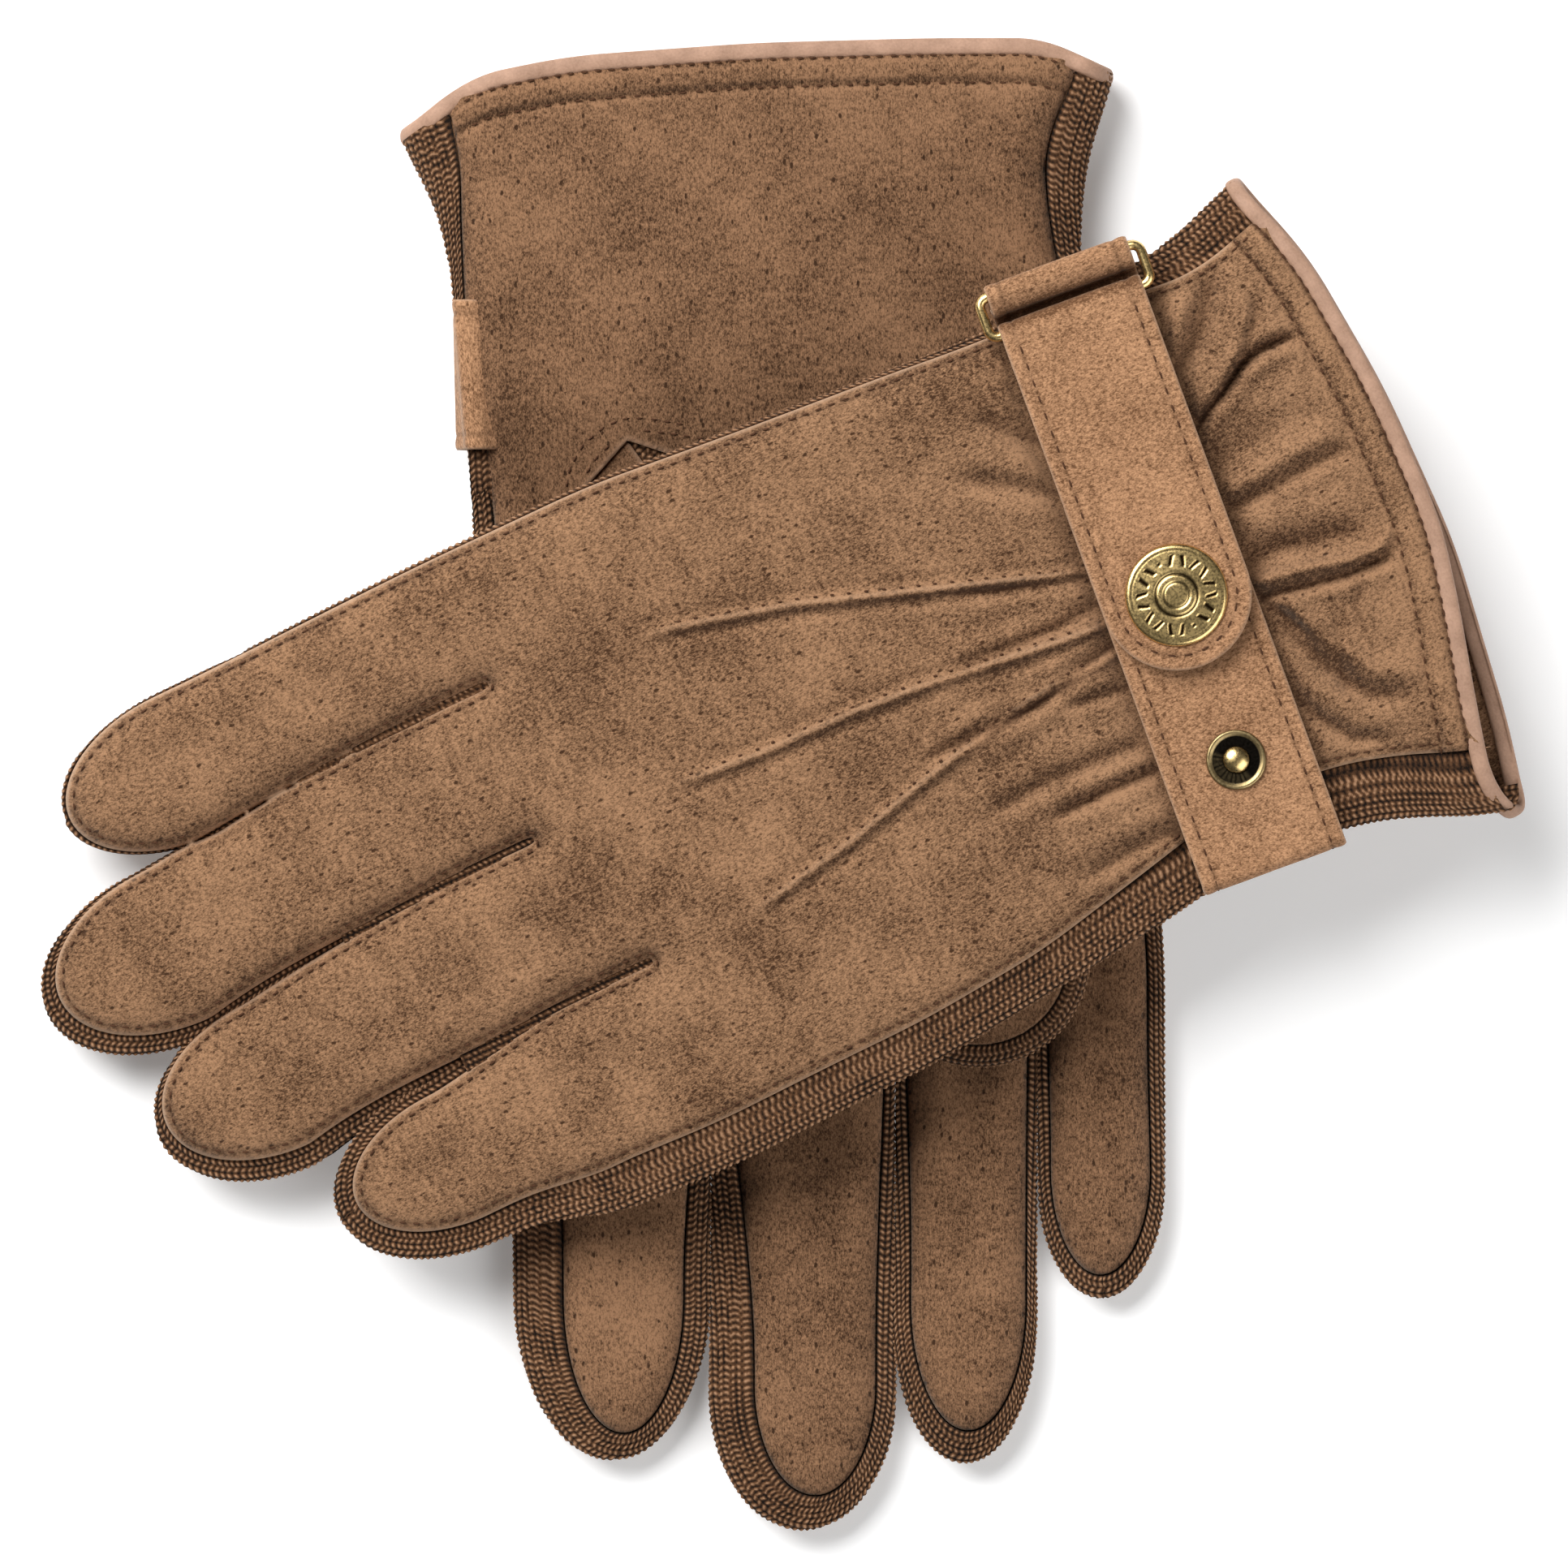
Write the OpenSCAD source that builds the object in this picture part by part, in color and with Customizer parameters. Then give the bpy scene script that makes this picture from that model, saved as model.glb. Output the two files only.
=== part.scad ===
// A pair of leather driving gloves: suede palms and backs, knitted side walls and
// fourchettes, bound cuffs, and a snap strap on the back of each wrist.
// The right glove lies palm up. The left lies across it, back up.
// Each glove is drawn in its own frame: x to the index finger's side, y to the
// fingertips from the cuff edge, z from the palm to the back.

/* [Leather and knit] */
// Thickness of the suede panels
suede_t = 1.0; // [0.8:0.1:1.3]
// Width of the knitted wall between palm and back
knit_w = 3.0; // [2:0.25:4]
// Gap left at each seam
seam = 0.1; // [0.05:0.05:0.2]
// Depth of the leather binding round the cuff
binding_w = 3.5; // [2.5:0.5:5]
// Thickness of a hand laid flat, outside to outside
hand_t = 9.6; // [9.2:0.2:12]
// Thickness of the right wrist, where the strap under it lifts it
wrist_t = 6.9; // [6.6:0.1:8]
// Thickness of the right thumb folded on the palm
right_thumb_t = 6.4; // [6.2:0.2:8]
// Thickness of the left thumb folded under the palm
left_thumb_t = 6.2; // [6.2:0.2:8]

/* [Strap] */
// Width of the strap
strap_w = 25; // [20:1:26]
// Thickness of the strap leather
strap_t = 1.1; // [0.9:0.1:1.2]
// Length of the tab past the snap
tab_nose = 12.5; // [11:0.5:16]
// Radius of the ring's wire
wire_r = 0.85; // [0.7:0.05:0.95]
// Distance between the ring's two bars
ring_pitch = 6.8; // [6.4:0.2:9]
// How much wider the ring is than the strap
ring_play = 5; // [5:0.5:8]
// Bend radius at the ring's corners
ring_bend = 1.5; // [1.2:0.1:1.8]

/* [Snap] */
// Diameter of the domed cap
cap_d = 17; // [14:0.5:19]
// Diameter of a stud's flange
stud_d = 10; // [8:0.5:11]
// Diameter of a stud's post
post_d = 4.4; // [3.6:0.2:5]
// Distance between the two studs
stud_pitch = 29; // [24:1:32]

/* [Placing] */
// Angle of the left glove from the right glove's line
cross_angle = 115; // [113:1:117]
// Gap between the two gloves where the thumbs cross
glove_gap = 0.8; // [0.4:0.1:3]

/* [Hidden] */
$fn = 64;
eps = 0.01;
far = 400;
bore_r = wire_r + 0.06;            // leather loop's bore round the ring's wire
loop_r = bore_r + 1.04;            // leather loop's outside
bar_z = 0.8 + loop_r;              // height of the ring's bars above the back panel
tab_top = bar_z + loop_r;          // outer face of the tab
base_z = 0.5;                      // underside of the base strap
flange_z = base_z + strap_t;       // underside of a stud's flange
flange_t = 0.5;
socket_z = flange_z + flange_t + 0.05;
tab_z = tab_top - strap_t;
cap_t = 1.1;
thumb_wall = 3.0;
ring_w = strap_w + ring_play;
left_lift = hand_t + right_thumb_t + glove_gap + left_thumb_t;
finger_root = 144;                 // where the fingers' straight sides start
side_drop = 7.5;                   // how far the strap's ends run down the side walls
side_clear_index = 1.3;            // from the side walls to the strap's ends
side_clear_little = 2.1;
right_at = [-2.2, 124.2];          // the middle of each cuff's edge
left_at = [107.1, 53.6];
base_end = 18;                     // the base strap's free end, under the tab

// What differs between the two gloves. Fingers are [centre x, tip y, width] from the
// index to the little finger, sides and cuff are outline points, and the palm and back
// lines give the height of each outer face along the glove.
G_FINGERS = 0;
G_CROTCH = 1;
G_INDEX_SIDE = 2;
G_LITTLE_SIDE = 3;
G_CUFF = 4;
G_PALM = 5;
G_BACK = 6;
G_THUMB = 7;                       // [base x, base y, tip centre x, tip centre y, radius]
G_STRAP = 8;                       // [centre y, tilt, index-side edge, little-side edge,
                                   //  how far out from the index side the ring's bar is]
G_THUMB_T = 9;
right_strap_y = 54;
pocket_from = right_strap_y - ring_w / 2 - 4;    // the right back is hollowed over the strap
pocket_to = right_strap_y + ring_w / 2 + 2;
pocket_z = hand_t - (tab_top + cap_t + 0.6);
wrist_z = pocket_z - wrist_t;
cuff_z = hand_t - 1.5;
ramp = 9;                          // length of the slope from the wrist to the hand
right_thumb_r = 18.5;
G_APEX = 10;                       // lower point of the thumb gusset

function finger_list(little, ring, middle, index) = [index, middle, ring, little];

LEFT = [
  finger_list([-35.5, 214.5, 25], [-9, 235.5, 25], [17, 243, 26], [43.5, 226, 25]),
  [154, 159, 149],
  [[57, 8], [52.5, 18], [50.4, 26], [51, 60], [54, 100], [56, 125], [56, 170]],
  [[-58, 11], [-50, 28], [-48.5, 62], [-54.5, 112], [-57, 152], [-53, 180], [-48, 202]],
  [[57, 8], [40, 2], [15, -0.5], [-15, -0.5], [-40, 3], [-58, 11]],
  [[-10, 0], [140, 0], [260, -24]],
  [[-10, 12], [26, hand_t], [140, hand_t], [260, hand_t - 24]],
  [30, 96, -30, 121, 15.5],
  [44.4, -4.9, 51, -48.5, 4.2],
  left_thumb_t,
  [21, 64],
];
RIGHT = [
  finger_list([-58.1, 208, 20.4], [-35.9, 239.6, 22.8], [-8.2, 250.4, 31.4], [24.8, 238, 33.2]),
  [154, 156, 152],
  [[59.8, 16], [54, 27], [50, 38], [47.5, 80], [46.5, 120], [43, 160], [41.4, 200]],
  [[-59.5, 5], [-54, 30], [-57, 80], [-67, 136], [-68.3, 143], [-68.3, 190]],
  [[59.8, 16], [48.6, 4.5], [31, 1.2], [0, -1], [-45, -2], [-57, 1], [-59.5, 5]],
  [[-10, wrist_z], [pocket_to - 1, wrist_z], [pocket_to + ramp, 0], [260, 0]],
  [[-10, cuff_z], [pocket_from - 11, cuff_z], [pocket_from, pocket_z], [pocket_to, pocket_z],
   [pocket_to + ramp, hand_t], [260, hand_t]],
  [27, pocket_to + ramp + right_thumb_r, -37.3, 151, right_thumb_r],
  [right_strap_y, 0, 49, -56.5, -3.2],
  right_thumb_t,
  [21, 64],
];

// ---- Plan outlines ----

// One finger, drawn in by e from its outer face
module finger_plan(f, e) {
  r = f[2] / 2 - e;
  translate([f[0] - r, finger_root]) square([2 * r, f[1] - f[2] / 2 - finger_root]);
  translate([f[0], f[1] - f[2] / 2]) circle(r);
}

// The hand below the crotches, drawn in by e
module hand_plan(g, e) {
  fingers = g[G_FINGERS];
  crotch = g[G_CROTCH];
  index_side = g[G_INDEX_SIDE];
  little_side = g[G_LITTLE_SIDE];
  web = [for (i = [0:2]) (fingers[i][0] - fingers[i][2] / 2
                          + fingers[i + 1][0] + fingers[i + 1][2] / 2) / 2];
  cuff = [for (i = [1:len(g[G_CUFF]) - 2]) g[G_CUFF][i]];
  top_i = fingers[0][0] + fingers[0][2] / 2 - e - eps;
  top_l = fingers[3][0] - fingers[3][2] / 2 + e + eps;
  polygon(concat(
    [for (p = index_side) [p[0] - e, p[1]]],
    [[top_i, index_side[len(index_side) - 1][1] + 1], [fingers[0][0], crotch[0] - e]],
    [for (i = [0:2]) for (s = [1, -1]) [web[i] + s * 2, crotch[i] - e]],
    [[fingers[3][0], crotch[2] - e], [top_l, little_side[len(little_side) - 1][1] + 1]],
    [for (i = [len(little_side) - 1:-1:0]) [little_side[i][0] + e, little_side[i][1]]],
    [for (i = [len(cuff) - 1:-1:0]) cuff[i]]));
}

module glove_plan(g, e) {
  hand_plan(g, e);
  for (f = g[G_FINGERS]) finger_plan(f, e);
}

// The strip of the plan within w of the cuff edge
module cuff_plan(g, w) {
  c = g[G_CUFF];
  n = len(c) - 1;
  polygon(concat([[c[0][0] + 30, c[0][1] + w], [c[0][0] + 30, -30], [c[n][0] - 30, -30],
                  [c[n][0] - 30, c[n][1] + w]],
                 [for (i = [n:-1:0]) [c[i][0], c[i][1] + w]]));
}

// ---- Heights ----

// The space between two lines of heights along the glove
module between(low, high, a, b) {
  rotate([90, 0, 90]) translate([0, 0, -far / 2]) linear_extrude(far)
    polygon(concat([for (p = low) [p[0], p[1] + a]],
                   [for (i = [len(high) - 1:-1:0]) [high[i][0], high[i][1] - b]]));
}
module palm_layer(g) { between(g[G_PALM], g[G_PALM], 0, -suede_t); }
module back_layer(g) { between(g[G_BACK], g[G_BACK], -suede_t, 0); }
module whole_layer(g) { between(g[G_PALM], g[G_BACK], 0, 0); }
module tall() { translate([0, 0, -60]) linear_extrude(140) children(); }

// ---- Thumb ----

module capsule_plan(a, b, r) {
  length = norm(b - a);
  translate(a) rotate(atan2(b[1] - a[1], b[0] - a[0])) {
    translate([0, -r]) square([length, 2 * r]);
    circle(r);
    translate([length, 0]) circle(r);
  }
}
module thumb_plan(g, e) {
  t = g[G_THUMB];
  capsule_plan([t[0], t[1]], [t[2], t[3]], t[4] - e);
}
module thumb_hole(g) { translate([g[G_THUMB][0], g[G_THUMB][1]]) circle(g[G_THUMB][4] - 5); }
module gusset_plan(g, e) {
  t = g[G_THUMB];
  a = g[G_APEX];
  half = t[4] - 1;
  polygon([[a[0], a[1] + 1.6 * e], [t[0] + half - e, t[1]], [t[0] - half + e, t[1]]]);
}

// ---- Soft pieces ----

module palm_panel(g) {
  color("#8a6a4c") intersection() {
    tall() difference() {
      glove_plan(g, knit_w + seam);
      cuff_plan(g, binding_w + seam);
      thumb_hole(g);
      gusset_plan(g, -seam);
    }
    palm_layer(g);
  }
}
module back_panel(g) {
  color("#8f6f50") intersection() {
    tall() difference() {
      glove_plan(g, knit_w + seam);
      cuff_plan(g, binding_w + seam);
    }
    back_layer(g);
  }
}
module thumb_gusset(g) {
  color("#8a6a4c") intersection() {
    tall() difference() {
      intersection() {
        gusset_plan(g, 0);
        glove_plan(g, knit_w + seam);
      }
      thumb_hole(g);
    }
    palm_layer(g);
  }
}

// The knitted wall within the plan region given as a child
module knit_wall(g) {
  color("#6b4d35") intersection() {
    tall() intersection() {
      difference() {
        glove_plan(g, 0);
        glove_plan(g, knit_w);
        cuff_plan(g, binding_w + seam);
      }
      children();
    }
    whole_layer(g);
  }
}
module thumb_side_knit(g) {
  knit_wall(g) translate([g[G_FINGERS][0][0] + seam, -20]) square([far, far]);
}
module little_side_knit(g) {
  knit_wall(g) {
    translate([g[G_FINGERS][3][0] - seam - far, -20]) square([far, far]);
    translate([-far, -20]) square([far - 20, 140]);
  }
}
module fourchette(g, i) {
  from_x = g[G_FINGERS][i + 1][0] + seam;
  to_x = g[G_FINGERS][i][0] - seam;
  knit_wall(g) translate([from_x, 120]) square([to_x - from_x, far]);
}

module thumb_front(g) {
  color("#8a6a4c") translate([0, 0, -g[G_THUMB_T]]) linear_extrude(suede_t)
    thumb_plan(g, thumb_wall + seam);
}
module thumb_back(g) {
  color("#8a6a4c") translate([0, 0, -suede_t]) linear_extrude(suede_t) difference() {
    thumb_plan(g, thumb_wall + seam);
    thumb_hole(g);
  }
}
module thumb_knit(g) {
  color("#6b4d35") translate([0, 0, -g[G_THUMB_T]]) linear_extrude(g[G_THUMB_T]) difference() {
    thumb_plan(g, 0);
    thumb_plan(g, thumb_wall);
  }
}
module cuff_binding(g) {
  color("#b08d74") difference() {
    intersection() {
      tall() intersection() {
        glove_plan(g, 0);
        cuff_plan(g, binding_w);
      }
      whole_layer(g);
    }
    intersection() {
      tall() offset_mouth(g);
      between(g[G_PALM], g[G_BACK], suede_t, suede_t);
    }
  }
}
// The cuff's mouth in plan: the hand's inside, run out past the cuff edge
module offset_mouth(g) {
  c = g[G_CUFF];
  n = len(c) - 1;
  x0 = c[0][0] - knit_w;
  x1 = c[n][0] + knit_w;
  hand_plan(g, knit_w);
  polygon([[x0, c[0][1] + eps], [x0, -20], [x1, -20], [x1, c[n][1] + eps],
           [x1 + 20, 20], [x0 - 20, 20]]);
}

// ---- Strap, in a frame whose z is 0 on the back panel ----

module at_strap(g) {
  s = g[G_STRAP];
  z = lookup(s[0], g[G_BACK]);
  translate([0, s[0], z]) rotate(s[1]) children();
}
function keeper_x(g) = g[G_STRAP][2] + g[G_STRAP][4];
function ring_x(g) = keeper_x(g) - ring_pitch;
function cap_x() = -1.8;

module along_y(x, z, r, w) { translate([x, w / 2, z]) rotate([90, 0, 0]) cylinder(h = w, r = r); }

module strap_keeper(g) {
  x = keeper_x(g);
  inner = g[G_STRAP][2] + side_clear_index;
  low = min(x, inner);
  high = max(x, inner + strap_t);
  color("#8f6f50") difference() {
    union() {
      along_y(x, bar_z, loop_r, strap_w);
      translate([low, -strap_w / 2, bar_z - loop_r]) cube([high - low, strap_w, strap_t]);
      translate([inner, -strap_w / 2, -side_drop])
        cube([strap_t, strap_w, side_drop + bar_z - loop_r + strap_t]);
    }
    along_y(x, bar_z, bore_r, strap_w + 2);
  }
}
module strap_ring(g) {
  long = ring_w / 2 - wire_r - ring_bend;
  short = ring_pitch / 2 - ring_bend;
  color("#b59a55") translate([ring_x(g) + ring_pitch / 2, 0, bar_z]) {
    for (side = [-1, 1]) {
      along_y(side * ring_pitch / 2, 0, wire_r, 2 * long);
      translate([-short, side * (long + ring_bend), 0]) rotate([0, 90, 0])
        cylinder(h = 2 * short, r = wire_r);
    }
    for (i = [0:3])
      translate([(i % 3 == 0 ? 1 : -1) * short, (i < 2 ? 1 : -1) * long, 0]) rotate(90 * i)
        rotate_extrude(angle = 90) translate([ring_bend, 0]) circle(wire_r);
  }
}
module strap_tab(g) {
  x = ring_x(g);
  nose = cap_x() - tab_nose + strap_w / 2;
  color("#8f6f50") difference() {
    union() {
      translate([0, 0, tab_z]) linear_extrude(strap_t) {
        translate([nose, -strap_w / 2]) square([x - nose, strap_w]);
        translate([nose, 0]) circle(strap_w / 2);
      }
      along_y(x, bar_z, loop_r, strap_w);
    }
    along_y(x, bar_z, bore_r, strap_w + 2);
    translate([cap_x(), 0, tab_z - 1]) cylinder(h = strap_t + 2, r = 1.5);
  }
}
module strap_base(g) {
  end = g[G_STRAP][3] - side_clear_little - strap_t;
  color("#8f6f50") difference() {
    union() {
      translate([end, -strap_w / 2, base_z]) cube([base_end - end, strap_w, strap_t]);
      translate([end, -strap_w / 2, -side_drop + base_z]) cube([strap_t, strap_w, side_drop]);
    }
    for (i = [0, 1])
      translate([cap_x() - i * stud_pitch, 0, base_z - 1]) cylinder(h = strap_t + 2, r = 1.2);
  }
}

// ---- Snap ----

module snap_cap(g) {
  color("#b59a55") translate([cap_x(), 0, 0]) {
    translate([0, 0, tab_z]) cylinder(h = strap_t + 0.3, r = 1.5);
    translate([0, 0, tab_top]) rotate_extrude() polygon([
      [0, 0], [cap_d / 2 - 0.4, 0], [cap_d / 2, 0.3], [cap_d / 2 - 0.2, 0.6],
      [cap_d / 2 - 1.4, cap_t - 0.2], [0, cap_t]]);
  }
}
module snap_socket(g) {
  color("#b59a55") translate([cap_x(), 0, socket_z]) difference() {
    cylinder(h = tab_z - socket_z, r = 5);
    translate([0, 0, -1]) cylinder(h = 4, r = post_d / 2 + 0.06);
  }
}
module snap_studs(g) {
  color("#4a4234") for (i = [0, 1]) translate([cap_x() - i * stud_pitch, 0, flange_z])
    rotate_extrude() polygon([
      [0, 0], [stud_d / 2, 0], [stud_d / 2, flange_t], [post_d / 2 - 0.2, flange_t],
      [post_d / 2, flange_t + 0.5], [post_d / 2 - 0.4, flange_t + 1.1],
      [0, flange_t + 1.3]]);
}
module snap_rivets(g) {
  color("#b59a55") for (i = [0, 1]) translate([cap_x() - i * stud_pitch, 0, 0]) {
    cylinder(h = base_z, r = 4.2);
    cylinder(h = flange_z, r = 1.2);
  }
}

// ---- The pair ----

module glove_piece(name, g) {
  if (name == "palm_panel") palm_panel(g);
  if (name == "back_panel") back_panel(g);
  if (name == "thumb_gusset") thumb_gusset(g);
  if (name == "thumb_side_knit") thumb_side_knit(g);
  if (name == "fourchette_index_middle") fourchette(g, 0);
  if (name == "fourchette_middle_ring") fourchette(g, 1);
  if (name == "fourchette_ring_little") fourchette(g, 2);
  if (name == "little_side_knit") little_side_knit(g);
  if (name == "thumb_front") thumb_front(g);
  if (name == "thumb_back") thumb_back(g);
  if (name == "thumb_knit") thumb_knit(g);
  if (name == "cuff_binding") cuff_binding(g);
  if (name == "strap_keeper") at_strap(g) strap_keeper(g);
  if (name == "strap_ring") at_strap(g) strap_ring(g);
  if (name == "strap_tab") at_strap(g) strap_tab(g);
  if (name == "strap_base") at_strap(g) strap_base(g);
  if (name == "snap_cap") at_strap(g) snap_cap(g);
  if (name == "snap_socket") at_strap(g) snap_socket(g);
  if (name == "snap_studs") at_strap(g) snap_studs(g);
  if (name == "snap_rivets") at_strap(g) snap_rivets(g);
}
// Palm up, fingers towards -y, its back on the surface
module right(name) {
  translate([right_at[0], right_at[1], hand_t]) mirror([0, 0, 1]) rotate(180) glove_piece(name, RIGHT);
}
// Back up, lying across the right glove
module left(name) {
  translate([left_at[0], left_at[1], left_lift]) rotate(cross_angle) glove_piece(name, LEFT);
}

right("palm_panel");  // right_palm_panel
right("back_panel");  // right_back_panel
right("thumb_gusset");  // right_thumb_gusset
right("thumb_side_knit");  // right_thumb_side_knit
right("fourchette_index_middle");  // right_fourchette_index_middle
right("fourchette_middle_ring");  // right_fourchette_middle_ring
right("fourchette_ring_little");  // right_fourchette_ring_little
right("little_side_knit");  // right_little_side_knit
right("thumb_front");  // right_thumb_front
right("thumb_back");  // right_thumb_back
right("thumb_knit");  // right_thumb_knit
right("cuff_binding");  // right_cuff_binding
right("strap_keeper");  // right_strap_keeper
right("strap_ring");  // right_strap_ring
right("strap_tab");  // right_strap_tab
right("strap_base");  // right_strap_base
right("snap_cap");  // right_snap_cap
right("snap_socket");  // right_snap_socket
right("snap_studs");  // right_snap_studs
right("snap_rivets");  // right_snap_rivets
left("palm_panel");  // left_palm_panel
left("back_panel");  // left_back_panel
left("thumb_gusset");  // left_thumb_gusset
left("thumb_side_knit");  // left_thumb_side_knit
left("fourchette_index_middle");  // left_fourchette_index_middle
left("fourchette_middle_ring");  // left_fourchette_middle_ring
left("fourchette_ring_little");  // left_fourchette_ring_little
left("little_side_knit");  // left_little_side_knit
left("thumb_front");  // left_thumb_front
left("thumb_back");  // left_thumb_back
left("thumb_knit");  // left_thumb_knit
left("cuff_binding");  // left_cuff_binding
left("strap_keeper");  // left_strap_keeper
left("strap_ring");  // left_strap_ring
left("strap_tab");  // left_strap_tab
left("strap_base");  // left_strap_base
left("snap_cap");  // left_snap_cap
left("snap_socket");  // left_snap_socket
left("snap_studs");  // left_snap_studs
left("snap_rivets");  // left_snap_rivets
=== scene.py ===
import math

import bmesh
import bpy
import numpy as np
from mathutils import Matrix, Vector
from mathutils.kdtree import KDTree


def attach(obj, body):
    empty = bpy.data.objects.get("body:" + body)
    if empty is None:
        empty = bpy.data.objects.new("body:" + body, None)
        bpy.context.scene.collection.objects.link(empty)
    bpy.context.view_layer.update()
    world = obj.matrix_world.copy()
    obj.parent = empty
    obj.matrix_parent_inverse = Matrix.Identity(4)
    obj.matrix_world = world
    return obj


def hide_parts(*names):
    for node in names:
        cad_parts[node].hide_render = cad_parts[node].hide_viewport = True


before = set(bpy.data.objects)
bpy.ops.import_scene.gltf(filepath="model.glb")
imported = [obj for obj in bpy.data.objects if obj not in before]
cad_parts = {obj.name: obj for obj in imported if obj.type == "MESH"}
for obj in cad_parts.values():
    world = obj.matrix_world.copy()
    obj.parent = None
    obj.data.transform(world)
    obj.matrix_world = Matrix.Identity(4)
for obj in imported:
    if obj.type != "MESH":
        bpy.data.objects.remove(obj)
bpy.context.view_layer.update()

# ---- Laying the pair ----
# A pair of driving gloves lies flat: the right one palm up, the left one back up across it.
# Each is laid out in its own plan, in millimetres: x to the index finger's side, y to the
# fingertips from the cuff edge, z from the palm up to the back.

MM = 0.001
HAND_THICK = 9.6
LEFT_ANGLE = math.radians(115)
LEFT_AT = (107.1, 53.6, 23.0)
RIGHT_AT = (-2.2, 124.2)


def lay_left(x, y, z):
    c, s = math.cos(LEFT_ANGLE), math.sin(LEFT_ANGLE)
    return np.stack([LEFT_AT[0] + c * x - s * y, LEFT_AT[1] + s * x + c * y, LEFT_AT[2] + z], -1) * MM


def lay_right(x, y, z):
    return np.stack([RIGHT_AT[0] - x, RIGHT_AT[1] - y, HAND_THICK - z], -1) * MM


def smooth_step(a, b, x):
    t = np.clip((x - a) / (b - a), 0.0, 1.0)
    return t * t * (3 - 2 * t)


def eased(x, table, reach=6.0):
    """A run of straight stretches through the table's points, with its corners eased."""
    xs, ys = np.array(table, float).T
    shifts = np.linspace(-reach, reach, 9)
    return np.mean([np.interp(x + d, xs, ys) for d in shifts], axis=0)


def rough(x, y, size, seed):
    """Smooth random unevenness between -1 and 1, with hills about size across."""
    rng = np.random.default_rng(seed)
    total = np.zeros_like(np.asarray(x, float))
    for _ in range(7):
        a, p = rng.uniform(0, 2 * math.pi, 2)
        k = 2 * math.pi / (size * rng.uniform(1.3, 3.0))
        total += np.sin(k * (x * math.cos(a) + y * math.sin(a)) + p)
    return total / 4.0


# Each glove's cut. Fingers run from the index to the little one: centre, half width, tip,
# length of the rounded end. Insets say how far the back and the palm stop short of the
# knitted wall's outermost line, on each finger's index side, little side and tip.
LEFT = {
    "name": "left", "lay": lay_left, "up": 1.0,
    "fingers": [(42.5, 12.9, 228, 22), (14.6, 14.8, 244.3, 23), (-12.4, 14.7, 236, 22),
                (-36.9, 14.4, 214.2, 22)],
    "crotch": [(33.1, 154), (6.5, 158), (-20, 148.5)], "spread": 0.35,
    "index_side": [(0, 58.5), (7, 56.8), (18, 52.5), (27, 50.6), (60, 51.2), (100, 54.2),
                   (125, 56.4), (240, 56.4)],
    "little_side": [(0, -59), (11, -57.5), (24, -51.5), (34, -48.6), (44, -47.6), (56, -48.0),
                    (64, -49.3), (90, -52.5), (112, -55), (150, -56.4), (174, -55.5),
                    (190, -52.3), (260, -51)],
    "back_inset": {"index": [(0, 8), (16, 7.5), (30, 4), (48, 1.2), (70, 0.6), (240, 0.6)],
                   "little": [(0, 11), (14, 11.5), (30, 10.5), (60, 9.5), (90, 6.6), (130, 7.4),
                              (170, 7.6), (195, 5.2), (240, 4.0)],
                   "fingers": [(0.6, 0.2, 1.0), (0.2, 2.6, 3.0), (0.2, 3.5, 2.0), (2.2, 4.4, 3.6)],
                   "crotch": 0.15},
    "palm_inset": {"index": [(0, 5), (60, 4.5), (240, 4.5)], "little": [(0, 3), (240, 2.4)],
                   "fingers": [(0.2, 0.2, 3.0)] * 4, "crotch": 0.05},
    "back_line": [(-10, 11.6), (8, 11.2), (26, 9.0), (52, 9.0), (66, 10.2), (90, 10.6), (135, 10.2),
                  (160, 5.9), (260, -14.1)],
    "palm_line": [(-10, 0), (136, 0), (144, -0.8), (260, -24)],
    "thumb": ((30, 96), (-30, 121), 15.5, 6.2),
    "cuff": [(57.5, 7.5), (40, 1.6), (15, -0.6), (-15, -0.6), (-36, 3.2), (-58, 9.5)],
}
RIGHT = {
    "name": "right", "lay": lay_right, "up": -1.0,
    "fingers": [(23.9, 16.5, 235.2, 29), (-7.9, 15.6, 246.9, 23), (-35.0, 12.0, 235.7, 24),
                (-57.8, 10.6, 208.2, 20)],
    "crotch": [(7.4, 154), (-23.4, 156), (-47.1, 152)], "spread": -0.1,
    "index_side": [(0, 62.5), (10, 60.8), (16, 59), (22, 54.8), (30, 52), (38, 50.6), (65, 48.2),
                   (80, 46.9), (120, 46.4), (170, 43), (205, 41.5), (260, 41.3)],
    "little_side": [(0, -60.3), (6, -59.6), (16, -55.6), (30, -54), (80, -57), (136, -67),
                    (150, -68.3), (260, -68.3)],
    "back_inset": {"index": [(0, 5), (240, 4)], "little": [(0, 5), (240, 4)],
                   "fingers": [(3.0, 3.0, 3.0)] * 4, "crotch": 1.2},
    "palm_inset": {"index": [(0, 9), (16, 10), (22, 5.5), (34, 2.2), (46, 1.7), (62, 1.6),
                             (71, 3.3), (130, 5), (240, 8.0)],
                   "little": [(0, 6), (14, 8), (40, 3.0), (140, 3), (240, 2.2)],
                   "fingers": [(8.4, 4.6, 4.5), (7.6, 3.4, 5.8), (3.0, 1.8, 5.4), (2.2, 2.4, 3.9)],
                   "crotch": 1.4},
    "back_line": [(-10, 8.1), (24, 8.1), (35, 3.4), (71, 3.4), (80, 9.5), (260, 9.5)],
    "palm_line": [(-10, -3.7), (60, -3.7), (78, -0.3), (90, 0), (260, 0)],
    "thumb": ((27, 98.5), (-37.3, 151), 18.4, 6.4),
    "cuff": [(59.8, 15.5), (48.6, 5), (31, 1.4), (0, -0.8), (-30, -1.6), (-50, -1.6), (-59.2, 4.5)],
}

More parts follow.
